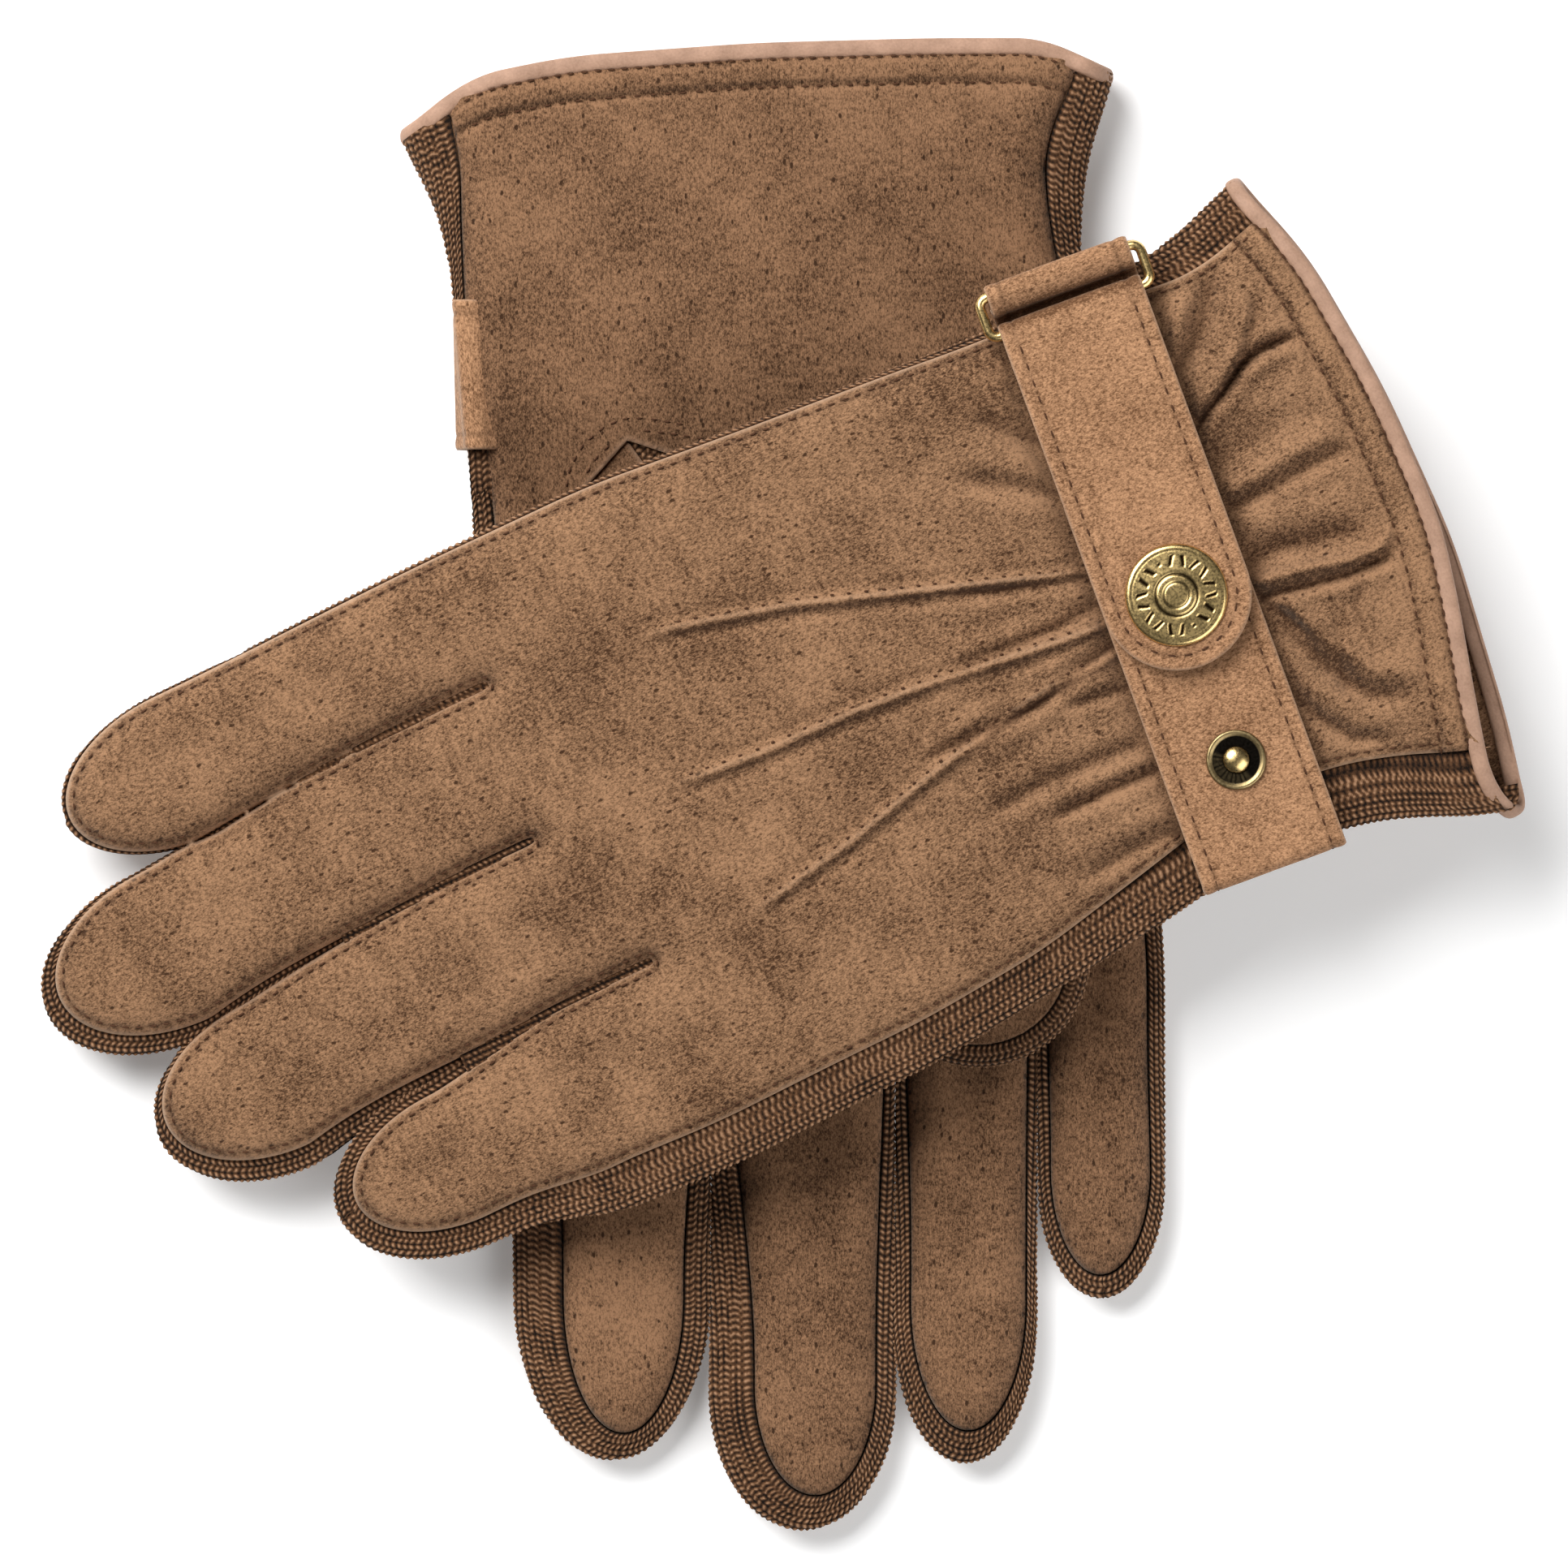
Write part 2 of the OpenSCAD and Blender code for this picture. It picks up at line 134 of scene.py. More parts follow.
SIDE_POINTS = 260
ARC_POINTS = 40
FINGER_POINTS = 120
FINGER_GAP = 0.2        # half the room between two fingers at their fork
FORK_DEEP = 1.5         # how far a fork's end is rounded
INDEX_LEANS, LITTLE_LEANS = 150, 168    # from here up a side leans to its fingertip
INSET_EASES = (165, 195)                # here an inset goes over to its finger's own
FLUSH = {"index": [(0, 0), (260, 0)], "little": [(0, 0), (260, 0)],
         "fingers": [(0, 0, 0)] * 4, "crotch": 0.0}


def cuff_edge(glove, x):
    return eased(x, sorted(glove["cuff"]))


def outline(glove, inset=FLUSH):
    """The glove's edge in plan, round the fingers from cuff corner to cuff corner. With an
    inset it is the edge of the palm or the back. Also gives the place of each fingertip."""
    points, tips = [], []
    fingers = glove["fingers"]
    gap = inset["crotch"]

    def finger_side(y, low, base, cross, at_tip, side, cut):
        """A finger's side from the crotch to the root of its tip, leaning as it goes."""
        t = np.clip((y - low) / (base - low), 0, 1)
        inset_here = gap + (cut - gap) * smooth_step(glove["spread"], 1, t)
        start = cross - side * FINGER_GAP
        return start + (at_tip - start) * t ** 2 - side * inset_here

    def line_inset(side, y, at_tip):
        low = eased(y, inset[side])
        return low + (at_tip - low) * smooth_step(*INSET_EASES, y)

    for i, (x, half, tip, arc) in enumerate(fingers):
        right, left, top = inset["fingers"][i]
        centre = x + (left - right) / 2
        h = half - (left + right) / 2
        rise = arc * (h / half) ** 0.5
        base = tip - top - rise
        if i == 0:
            corner = glove["index_side"][0][1] - inset["index"][0][1]
            y = np.linspace(cuff_edge(glove, corner), base, SIDE_POINTS)
            u = eased(y, glove["index_side"])
            u = u + (x + half - u) * smooth_step(INDEX_LEANS, base, y) - line_inset("index", y, right)
        else:
            cross, low = glove["crotch"][i - 1]
            low = low + FORK_DEEP + gap
            y = np.linspace(low, base, FINGER_POINTS)
            u = finger_side(y, low, base, cross, x + half, 1, right)
        points.append(np.stack([u, y], 1))
        a = np.linspace(0, math.pi, 2 * ARC_POINTS + 1)[1:-1]
        tips.append(sum(len(p) for p in points) + ARC_POINTS)
        points.append(np.stack([centre + h * np.cos(a), base + rise * np.sin(a)], 1))
        if i == 3:
            corner = glove["little_side"][0][1] + inset["little"][0][1]
            y = np.linspace(base, cuff_edge(glove, corner), SIDE_POINTS)
            u = eased(y, glove["little_side"])
            u = u + (x - half - u) * smooth_step(LITTLE_LEANS, base, y)
            u = u + line_inset("little", y, left)
            points.append(np.stack([u, y], 1))
        else:
            cross, low = glove["crotch"][i]
            low = low + FORK_DEEP + gap
            y = np.linspace(base, low, FINGER_POINTS)
            points.append(np.stack([finger_side(y, low, base, cross, x - half, -1, left), y], 1))
            c = np.linspace(0, math.pi, 7)[1:-1]
            points.append(np.stack([cross + (FINGER_GAP + gap) * np.cos(c),
                                    low - FORK_DEEP * np.sin(c)], 1))
    path = np.concatenate(points)
    for _ in range(3):
        path[1:-1] = (path[:-2] + 2 * path[1:-1] + path[2:]) / 4
    return path, tips


def inside(x, y, loop):
    """Which points lie inside a closed loop."""
    found = np.zeros(x.shape, bool)
    for (x0, y0), (x1, y1) in zip(loop, np.roll(loop, -1, 0)):
        if y0 == y1:
            continue
        hit = (y0 > y) != (y1 > y)
        found ^= hit & (x < (x1 - x0) * (y - y0) / (y1 - y0) + x0)
    return found


class Edge:
    """Distance and nearest place along an open or closed line in plan."""

    def __init__(self, path, spacing=0.25):
        step = np.linalg.norm(np.diff(path, axis=0), axis=1)
        run = np.concatenate([[0], np.cumsum(step)])
        self.length = run[-1]
        at = np.linspace(0, self.length, int(self.length / spacing) + 2)
        self.points = np.stack([np.interp(at, run, path[:, 0]), np.interp(at, run, path[:, 1])], 1)
        self.run = at
        self.part = np.interp(at, run, np.arange(len(path)))
        self.tree = KDTree(len(at))
        for i, p in enumerate(self.points):
            self.tree.insert((p[0], p[1], 0.0), i)
        self.tree.balance()

    def nearest(self, x, y):
        index = np.empty(len(x), int)
        distance = np.empty(len(x))
        for k, (a, b) in enumerate(zip(x.tolist(), y.tolist())):
            _, index[k], distance[k] = self.tree.find((a, b, 0.0))
        return index, distance


def into_mesh(name, bm):
    mesh = bpy.data.meshes.new(name)
    bm.to_mesh(mesh)
    bm.free()
    return mesh


def show(name, mesh, smooth=True):
    obj = bpy.data.objects.new(name, mesh)
    bpy.context.scene.collection.objects.link(obj)
    if smooth:
        mesh.shade_smooth()
    return obj


def vertex_places(mesh):
    co = np.empty(len(mesh.vertices) * 3)
    mesh.vertices.foreach_get("co", co)
    return co.reshape(-1, 3)


def write_values(mesh, title, values):
    layer = mesh.attributes.new(title, "FLOAT", "POINT")
    layer.data.foreach_set("value", values.astype(np.float32))


def finish_piece(obj, body, nodes, material):
    obj.data.materials.append(material)
    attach(obj, body)
    if nodes:
        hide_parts(*nodes)
    return obj


def patch(name, across, along, place, uv, relief):
    """A grid of cloth. place(s, t) gives world points for s and t between 0 and 1."""
    bm = bmesh.new()
    bmesh.ops.create_grid(bm, x_segments=across, y_segments=along, size=0.5)
    mesh = into_mesh(name, bm)
    s, t = vertex_places(mesh)[:, :2].T + 0.5
    mesh.vertices.foreach_set("co", place(s, t).reshape(-1))
    lay_uv(mesh, *uv(s, t))
    write_values(mesh, "relief", relief(s, t))
    mesh.update()
    return show(name, mesh)


def lay_uv(mesh, u, v):
    """Writes a map named cloth, in millimetres of cloth, from one pair of values a vertex."""
    layer = mesh.uv_layers.new(name="cloth")
    corners = np.empty(len(mesh.loops), int)
    mesh.loops.foreach_get("vertex_index", corners)
    flat = np.stack([u[corners], v[corners]], 1)
    layer.data.foreach_set("uv", flat.reshape(-1).astype(np.float32))

# ---- Suede ----
# Pigskin suede, napped side out: a brushed nap that shades in clouds, fine fibres, and the skin's small
# dark pores in short rows. Cut edges show paler. Stitched grooves and the bottoms of folds get painted
# shade, raised lines a painted highlight on one side and painted shade on the other, and slopes are
# painted lighter or darker by the way they face along the nap.


def socket_in(group, name, kind, default):
    made = group.interface.new_socket(name, in_out="INPUT", socket_type=kind)
    made.default_value = default
    return made


def node(tree, kind, links=(), **values):
    made = tree.nodes.new(kind)
    for key, value in values.items():
        setattr(made, key, value)
    for name, value in dict(links).items():
        target = made.inputs[name]
        if isinstance(value, bpy.types.NodeSocket):
            tree.links.new(value, target)
        else:
            target.default_value = value
    return made


def arithmetic(tree, operation, a, b=0.0, c=0.0):
    return node(tree, "ShaderNodeMath", {0: a, 1: b, 2: c}, operation=operation).outputs[0]


def noise_value(tree, vector, scale, detail, rough_amount=0.55):
    made = node(tree, "ShaderNodeTexNoise",
                {"Vector": vector, "Scale": scale, "Detail": detail, "Roughness": rough_amount})
    return made.outputs["Fac"]


def swing(tree, value, amount, tone):
    """Adds to a tone how far a noise value is from its middle."""
    return arithmetic(tree, "MULTIPLY_ADD", arithmetic(tree, "SUBTRACT", value, 0.5), amount, tone)


def stretch(tree, vector, by):
    return node(tree, "ShaderNodeVectorMath", {0: vector, 1: by}, operation="MULTIPLY").outputs[0]


def mix(tree, share, first, second, **settings):
    """Mixes two colours, each one a socket or its red, green and blue."""
    a, b = ((*c, 1) if isinstance(c, tuple) else c for c in (first, second))
    return node(tree, "ShaderNodeMix", {0: share, 6: a, 7: b}, data_type="RGBA", **settings).outputs[2]


def make_nap_group():
    """Tone and height of brushed suede. Place is in millimetres of leather."""
    group = bpy.data.node_groups.new("suede nap", "ShaderNodeTree")
    socket_in(group, "Place", "NodeSocketVector", (0, 0, 0))
    socket_in(group, "Pores", "NodeSocketFloat", 1.0)
    socket_in(group, "Clouds", "NodeSocketFloat", 1.0)
    group.interface.new_socket("Tone", in_out="OUTPUT", socket_type="NodeSocketFloat")
    group.interface.new_socket("Height", in_out="OUTPUT", socket_type="NodeSocketFloat")
    source = node(group, "NodeGroupInput")
    place = source.outputs["Place"]
    cloud = noise_value(group, place, 0.055, 3.0)
    patchy = noise_value(group, place, 0.33, 4.0, 0.62)
    stretched = stretch(group, place, (1.0, 0.55, 1.0))
    fibre = noise_value(group, stretched, 1.9, 4.0, 0.65)
    hair = noise_value(group, stretched, 4.6, 2.0, 0.6)
    cells = node(group, "ShaderNodeTexVoronoi",
                 {"Vector": stretch(group, place, (0.72, 0.40, 0.72)), "Scale": 1.0,
                  "Randomness": 0.85}, feature="F1")
    pick = node(group, "ShaderNodeSeparateColor", {"Color": cells.outputs["Color"]}).outputs[0]
    rows = noise_value(group, place, 0.14, 2.0)
    chosen = arithmetic(group, "GREATER_THAN", arithmetic(group, "ADD", pick, rows), 0.80)
    spot = node(group, "ShaderNodeMapRange",
                {"Value": cells.outputs["Distance"], "From Min": 0.09, "From Max": 0.23,
                 "To Min": 1.0, "To Max": 0.0}).outputs[0]
    pore = arithmetic(group, "MULTIPLY", arithmetic(group, "MULTIPLY", spot, chosen),
                      source.outputs["Pores"])
    tone = swing(group, cloud, arithmetic(group, "MULTIPLY", source.outputs["Clouds"], 1.15), 0.5)
    for value, amount in ((patchy, 0.75), (fibre, 2.5), (hair, 2.0)):
        tone = swing(group, value, amount, tone)
    tone = arithmetic(group, "MULTIPLY_ADD", pore, -0.8, tone)
    height = arithmetic(group, "MULTIPLY_ADD", patchy, 0.5, arithmetic(group, "MULTIPLY", fibre, 0.55))
    height = arithmetic(group, "MULTIPLY_ADD", hair, 0.25, height)
    height = arithmetic(group, "MULTIPLY_ADD", pore, -0.55, height)
    out = node(group, "NodeGroupOutput")
    group.links.new(tone, out.inputs["Tone"])
    group.links.new(height, out.inputs["Height"])
    return group


nap_group = make_nap_group()


def cloth_place(tree):
    return node(tree, "ShaderNodeUVMap", uv_map="cloth").outputs[0]


def relief_value(tree):
    return node(tree, "ShaderNodeAttribute", attribute_name="relief").outputs["Fac"]


def sunk_share(tree, relief):
    return node(tree, "ShaderNodeMath", {0: relief, 1: -1.0}, operation="MULTIPLY",
                use_clamp=True).outputs[0]


def new_material(name):
    material = bpy.data.materials.new(name)
    material.use_nodes = True
    return material, material.node_tree


def finish_material(tree, colour, bump, sockets):
    """Joins a colour, and a bump of (height, strength, depth), to the shader and sets its
    plain sockets."""
    skin = tree.nodes["Principled BSDF"]
    if colour:
        tree.links.new(colour, skin.inputs["Base Color"])
    if bump:
        height, strength, depth = bump
        raised = node(tree, "ShaderNodeBump",
                      {"Strength": strength, "Distance": depth, "Height": height})
        tree.links.new(raised.outputs[0], skin.inputs["Normal"])
    for socket, value in sockets.items():
        skin.inputs[socket].default_value = value


def make_suede(name, dark, light, pale, shade, pores=1.0, clouds=1.0):
    """Suede between a dark and a light tone, moved by the mesh's painted shading and tone attribute;
    pale shows at cut edges and as painted highlight on ridges, painted shade in grooves and folds.
    """
    material, tree = new_material(name)
    nap = node(tree, "ShaderNodeGroup", node_tree=nap_group)
    tree.links.new(cloth_place(tree), nap.inputs["Place"])
    nap.inputs["Pores"].default_value = pores
    nap.inputs["Clouds"].default_value = clouds
    # Painted shade and highlight, plus plain tone shifts, read from the mesh's shading attribute.
    shading_and_tone = node(tree, "ShaderNodeAttribute", attribute_name="shading_and_tone").outputs["Fac"]
    shaded_tone = arithmetic(tree, "ADD", nap.outputs["Tone"], shading_and_tone)
    relief = relief_value(tree)
    pale_and_highlight = node(tree, "ShaderNodeMath", {0: relief, 1: 0.0}, operation="MAXIMUM", use_clamp=True)
    colour = mix(tree, shaded_tone, dark, light, clamp_factor=True)
    colour = mix(tree, pale_and_highlight.outputs[0], colour, pale)
    colour = mix(tree, sunk_share(tree, relief), colour, shade)
    finish_material(tree, colour, (nap.outputs["Height"], 0.5, 0.0004), {
        "Roughness": 0.93, "Specular IOR Level": 0.18, "Sheen Weight": 0.22,
        "Sheen Roughness": 0.45, "Sheen Tint": (1.0, 0.86, 0.72, 1)})
    return material


back_suede = make_suede("suede back", (0.050, 0.021, 0.008), (0.345, 0.188, 0.098),
                        (0.46, 0.29, 0.18), (0.035, 0.013, 0.005))
palm_suede = make_suede("suede palm", (0.042, 0.018, 0.007), (0.280, 0.148, 0.077),
                        (0.34, 0.20, 0.12), (0.030, 0.011, 0.004), pores=1.2)
strap_suede = make_suede("suede strap", (0.120, 0.054, 0.023), (0.485, 0.262, 0.137),
                         (0.52, 0.33, 0.21), (0.035, 0.013, 0.005), pores=0.6, clouds=0.6)

# ---- Palms and backs ----
# Each palm and each back is one cut of suede with its four fingers. The back's edges are
# turned out over the knit and stitched down; the palm's edges are tucked under it.

STITCH_IN = 1.35
STITCH_PITCH = 2.3
SUEDE_THICK = 0.9
FINE_CELL = 0.4         # grids coarser than this have a coarser edge line
# The nap's way also sets which slopes get painted shade and which a painted highlight.
NAP = (0.75, -0.66)     # the way that the nap lies, in the cut's plan
NAP_LONG = 0.6          # how far along it a slope is measured
SLOPE_SHADING = 0.6        # how strongly a slope shades
SLOPE_SHADING_LIMITS = (-0.35, 0.30)


def stroke(x, y, points):
    """Distance from a drawn line, below 0 on its right, and the share of it passed."""
    points = np.array(points, float)
    best = np.full(x.shape, 1e9)
    sign = np.ones(x.shape)
    where = np.zeros(x.shape)
    steps = np.linalg.norm(np.diff(points, axis=0), axis=1)
    starts = np.concatenate([[0], np.cumsum(steps)]) / steps.sum()
    for k in range(len(points) - 1):
        a, b = points[k], points[k + 1]
        d = b - a
        t = np.clip(((x - a[0]) * d[0] + (y - a[1]) * d[1]) / (d @ d), 0, 1)
        gx, gy = x - a[0] - t * d[0], y - a[1] - t * d[1]
        dist = np.hypot(gx, gy)
        closer = dist < best
        best = np.where(closer, dist, best)
        sign = np.where(closer, np.sign(d[0] * gy - d[1] * gx), sign)
        where = np.where(closer, starts[k] + t * (starts[k + 1] - starts[k]), where)
    return best * sign, where


def groove(distance, at, width):
    return np.exp(-(((distance - at) / width) ** 2))


def circular(values, times):
    for _ in range(times):
        values = (np.roll(values, 1) + 2 * values + np.roll(values, -1)) / 4
    return values


def cut_grid(name, loop, cell, notch, cuts):
    """A flat grid cut along a loop and round a notch, with its edge pulled to the cuts."""
    low, high = loop.min(0) - cell, loop.max(0) + cell
    size = high - low
    bm = bmesh.new()
    bmesh.ops.create_grid(bm, x_segments=int(size[0] / cell), y_segments=int(size[1] / cell), size=0.5)
    bmesh.ops.scale(bm, vec=(size[0], size[1], 1), verts=bm.verts)
    bmesh.ops.translate(bm, vec=(*((low + high) / 2), 0), verts=bm.verts)
    middles = np.array([f.calc_center_median()[:2] for f in bm.faces])
    keep = inside(middles[:, 0], middles[:, 1], loop)
    if notch is not None:
        keep &= ~inside(middles[:, 0], middles[:, 1], notch)
    bmesh.ops.delete(bm, geom=[f for f, k in zip(bm.faces[:], keep) if not k], context="FACES")
    for v in bm.verts:
        if v.is_boundary:
            found = [cut.tree.find((v.co.x, v.co.y, 0.0)) + (cut,) for cut in cuts]
            _, k, _, cut = min(found, key=lambda f: f[2])
            v.co.x, v.co.y = cut.points[k]
    return into_mesh(name, bm)


def thicken(mesh, outer, down, solid):
    """Turns a cut's face outwards and gives it its thickness: a turned edge, or a whole
    second face where it is solid."""
    normals = np.empty(len(mesh.polygons) * 3)
    mesh.polygons.foreach_get("normal", normals)
    first = np.array([p.vertices[0] for p in mesh.polygons])
    bm = bmesh.new()
    bm.from_mesh(mesh)
    if np.sum(normals.reshape(-1, 3) * down[first]) > 0:
        bmesh.ops.reverse_faces(bm, faces=bm.faces)
    bm.verts.index_update()
    if solid:
        made = bmesh.ops.extrude_face_region(bm, geom=bm.faces[:], use_keep_orig=True)["geom"]
    else:
        made = bmesh.ops.extrude_edge_only(bm, edges=[e for e in bm.edges if e.is_boundary])["geom"]
    tree = KDTree(len(outer))
    for k, p in enumerate(outer.tolist()):
        tree.insert(p, k)
    tree.balance()
    made = [v for v in made if isinstance(v, bmesh.types.BMVert)]
    moves = [Vector(down[tree.find(v.co)[1]]) for v in made]
    for v, move in zip(made, moves):
        v.co += move
    bmesh.ops.recalc_face_normals(bm, faces=bm.faces)
    bm.normal_update()
    bm.faces.ensure_lookup_table()
    if bm.faces[0].normal.dot(Vector(down[first[0]])) > 0:
        bmesh.ops.reverse_faces(bm, faces=bm.faces)
    bm.to_mesh(mesh)
    bm.free()


def cut_suede(name, place, loop, cell, shape, material, body, nodes, fall=0.25, roll=0.7,
              thick=SUEDE_THICK, solid=False, notch=None, tone_and_shade=None):
    """Cuts a piece of leather along a loop, out of a grid. place(x, y, h) lays the cut's millimetres in
    the world, h off its face. shape(x, y, near, run) gives swells and relief. The edge rolls down by
    fall over a width of roll. Slopes are painted darker where they rise along the nap's way and lighter
    where they fall, as painted shade and highlight; the tone function given adds more painted shade and
    tone shifts where it says. Returns the piece and its edge line."""
    fall = np.full(len(loop), float(fall)) if np.isscalar(fall) else fall
    line = Edge(np.concatenate([loop, loop[:1]]), 0.25 if cell > FINE_CELL else 0.1)
    cuts = [line]
    if notch is not None:
        cuts.append(Edge(np.concatenate([notch, notch[:1]]), 0.1))
    mesh = cut_grid(name, loop, cell, notch, cuts)
    x, y = vertex_places(mesh)[:, :2].T
    index, near = line.nearest(x, y)
    part = np.interp(line.part[index], np.arange(len(fall) + 1), np.append(fall, fall[0]))
    r = np.clip(near / roll, 0, 1)
    drop = part * (1 - np.sqrt(np.clip(1 - (1 - r) ** 2, 0, 1)))
    added, relief = shape(x, y, near, line.run[index])
    # Painted shade and highlight: a slope is painted darker where it rises along the nap's way and
    # lighter where it falls.
    ahead, _ = shape(x + NAP[0] * NAP_LONG, y + NAP[1] * NAP_LONG, near, line.run[index])
    shading_and_tone = np.clip((added - ahead) * SLOPE_SHADING, *SLOPE_SHADING_LIMITS)
    if tone_and_shade is not None:
        shading_and_tone = shading_and_tone + tone_and_shade(x, y)
    if notch is not None:
        _, gap = cuts[1].nearest(x, y)
        relief = np.maximum(relief, 1.0 * np.exp(-(gap / 0.6) ** 2))
    outer = place(x, y, added - drop)
    down = place(x, y, added - drop - thick) - outer
    mesh.vertices.foreach_set("co", outer.reshape(-1))
    lay_uv(mesh, x, y)
    for title, values in (("relief", relief), ("shading_and_tone", shading_and_tone)):
        write_values(mesh, title, np.clip(values, -1, 1))
    mesh.update()
    thicken(mesh, outer, down, solid)
    obj = finish_piece(show(name, mesh), body, nodes, material)
    return obj, line


def seam_fall(glove, face):
    """The edge of a palm or a back in plan, and how far it lies below the face's crown."""
    edge, _ = outline(glove, glove[face + "_inset"])
    outer, _ = outline(glove)
    back = np.linalg.norm(edge - outer, axis=1)
    fall = np.clip(4.7 - 0.33 * back, 1.7, 4.4)
    for _ in range(6):
        fall[1:-1] = (fall[:-2] + fall[1:-1] + fall[2:]) / 3
    return edge, fall


def hem_height(glove, face, x):
    return eased(x, sorted(glove[face + "_cuff"]))


LEFT["back_cuff"] = [(57.5, 7.5), (40, 1.6), (15, -0.6), (-9, 0), (-24, 3.4), (-37, 7), (-58, 12)]
LEFT["palm_cuff"] = [(57.5, 6.5), (40, 1.0), (15, -1.2), (-13, -0.9), (-45, 3.8), (-58, 7)]
RIGHT["back_cuff"] = RIGHT["palm_cuff"] = [
    (59.8, 15.5), (48.6, 5), (31, 1.4), (0, -0.8), (-30, -1.6), (-50, -1.6), (-59.2, 4.5)]


def face_place(glove, face):
    out = 1.0 if face == "back" else -1.0
    return lambda x, y, h: glove["lay"](x, y, eased(y, glove[face + "_line"], 4.0) + out * h)


def hand_panel(glove, face, cell, shape, material, nodes, notch=None, tone_and_shade=None):
    edge, fall = seam_fall(glove, face)
    x = np.linspace(edge[-1][0], edge[0][0], 220)[1:-1]
    loop = np.concatenate([edge, np.stack([x, hem_height(glove, face, x)], 1)])
    fall = circular(np.concatenate([fall, np.full(len(x), 0.9)]), 12)
    side = glove["name"]
    return cut_suede(side + "_" + face, face_place(glove, face), loop, cell, shape, material,
                     side + "_glove", nodes, fall=fall, roll=7.0, notch=notch, tone_and_shade=tone_and_shade)


# The three raised points stitched into the back, and the folds that the strap gathers.
POINTS = [
    [(29.3, 129.3), (28.6, 123), (27.5, 118.2), (23.4, 102.1), (16.6, 82.1), (9, 60), (7.5, 52)],
    [(4.9, 135.3), (3.5, 118.1), (3.2, 101.6), (2.0, 85.6), (-0.7, 64.8), (-1.5, 54)],
    [(-20.4, 132.5), (-18.2, 121.5), (-16.1, 110.5), (-10.6, 89.4), (-7.4, 73.3), (-6.0, 54)],
]
# A fold's darkness is painted shade in its bottom.
FOLDS = [  # line, depth of the dip (below 0, a ridge), width, how dark its bottom is
    ([(28.3, 4.6), (29.1, 10.2), (29, 14.8), (27.9, 19), (25.4, 23.1), (23.7, 26.6), (21.5, 30)],
     2.3, 0.95, 0.95),
    ([(39.9, 12.7), (34.9, 14.6), (30.2, 19), (26.3, 23.5), (23.9, 27.2)], -1.3, 1.2, 0),
    ([(38.4, 11.1), (34.3, 13.4), (30.1, 17.2)], 0.7, 1.2, 0.35),
    ([(46.6, 15.9), (41.2, 18.6), (37.8, 21.1), (34.7, 24), (31.3, 29.3)], 2.0, 1.9, 0.45),
    ([(43.5, 22.4), (38.7, 25.2), (33.4, 29)], -1.2, 1.6, 0),
    ([(7.5, 4.7), (8.5, 10.9), (8.0, 17.8), (7.5, 24.8), (7.2, 30.5)], 1.5, 1.5, 0.3),
    ([(11.5, 7), (11.8, 16), (10.6, 24), (10, 30)], -0.8, 1.6, 0),
    ([(4.1, 7.7), (4.8, 15.6), (5.2, 22.9)], 0.5, 1.6, 0.15),
    ([(-5.0, 10), (-4.4, 14.9), (-3.4, 19.9), (-2.0, 25.2), (-1.9, 31.1)], 1.7, 2.1, 0.3),
    ([(5, 3.4), (-0.9, 4.2), (-6, 6.2), (-8.8, 10), (-8.4, 16.3), (-6.6, 23.2), (-5.3, 31.5)],
     -1.5, 1.0, 0),
    ([(-8, 6), (-11, 10.5), (-10.8, 17), (-9.6, 24), (-8, 32)], 1.5, 0.9, 0.7),
    ([(-20.4, 19.2), (-16.3, 18.4), (-13, 15.7)], 0.7, 0.8, 0.4),
    ([(-18.2, 27.1), (-13.7, 28.7), (-8.6, 31.6)], 1.0, 0.9, 0.5),
    ([(-34.6, 13.2), (-30.3, 22.5), (-22.4, 27.4), (-13.8, 30.5)], 1.3, 1.7, 0.35),
    ([(-38.9, 20.9), (-35.6, 27.9), (-29.4, 32.1), (-23.4, 34.2)], 1.0, 1.3, 0.4),
    ([(-32, 10), (-27.5, 19), (-20, 24), (-13, 28)], -0.9, 1.8, 0),
    ([(-20.3, 4.4), (-26.5, 9.4), (-36.6, 12)], 0.7, 1.1, 0.3),
    ([(-13.5, 19), (-20, 23.4), (-27.5, 25.5)], 0.6, 1.2, 0.25),
    ([(17, 8), (16.5, 18), (15, 30)], 0.7, 2.4, 0.1),
    ([(40, 63), (35, 58.5), (30.5, 54)], 1.2, 2.2, 0.35),
    ([(31.7, 70.3), (26.2, 61.5), (21.7, 55)], 1.0, 1.6, 0.35),
    ([(15.3, 80.7), (11.5, 71.1), (8.2, 57.8)], 0.9, 1.2, 0.35),
    ([(2.5, 90), (1.9, 74.7), (1.6, 64.9), (2.4, 56.2)], 0.9, 1.1, 0.35),
    ([(-8.6, 96), (-9.0, 88), (-8.4, 73), (-5.4, 60), (-4.2, 55)], 1.7, 1.2, 0.7),
    ([(-10.3, 71), (-11.8, 62.2), (-12, 57.5)], 0.9, 1.2, 0.45),
    ([(-21.9, 92.4), (-20.8, 76.3), (-21.7, 61)], 1.1, 1.5, 0.3),
    ([(-26.7, 81), (-26.4, 69), (-26.7, 57.7)], 1.6, 1.2, 0.55),
    ([(-33, 84), (-32.5, 70), (-33, 58)], -0.6, 2.0, 0),
    ([(-38, 80), (-37, 68), (-37, 60)], 0.9, 1.4, 0.4),
]


def fold(x, y, points, depth, width, dark):
    """One fold's height, and the painted shade in its bottom. It starts gently and is strongest at the
    strap.
    """
    d, t = stroke(x, y, points)
    strong = smooth_step(-0.02, 0.3, t)
    if depth < 0:
        return strong * -depth * np.exp(-(d / width) ** 2), 0.0
    dip = np.exp(-(d / width) ** 2)
    swell = np.exp(-((np.abs(d) - 2.3 * width) / (1.5 * width)) ** 2)
    return strong * depth * (0.38 * swell - dip), -strong * dark * np.exp(-(d / (0.42 * width)) ** 2)


STRAP_LINE = (44.4, -0.0857)    # the strap's middle: height above the cuff, and slope


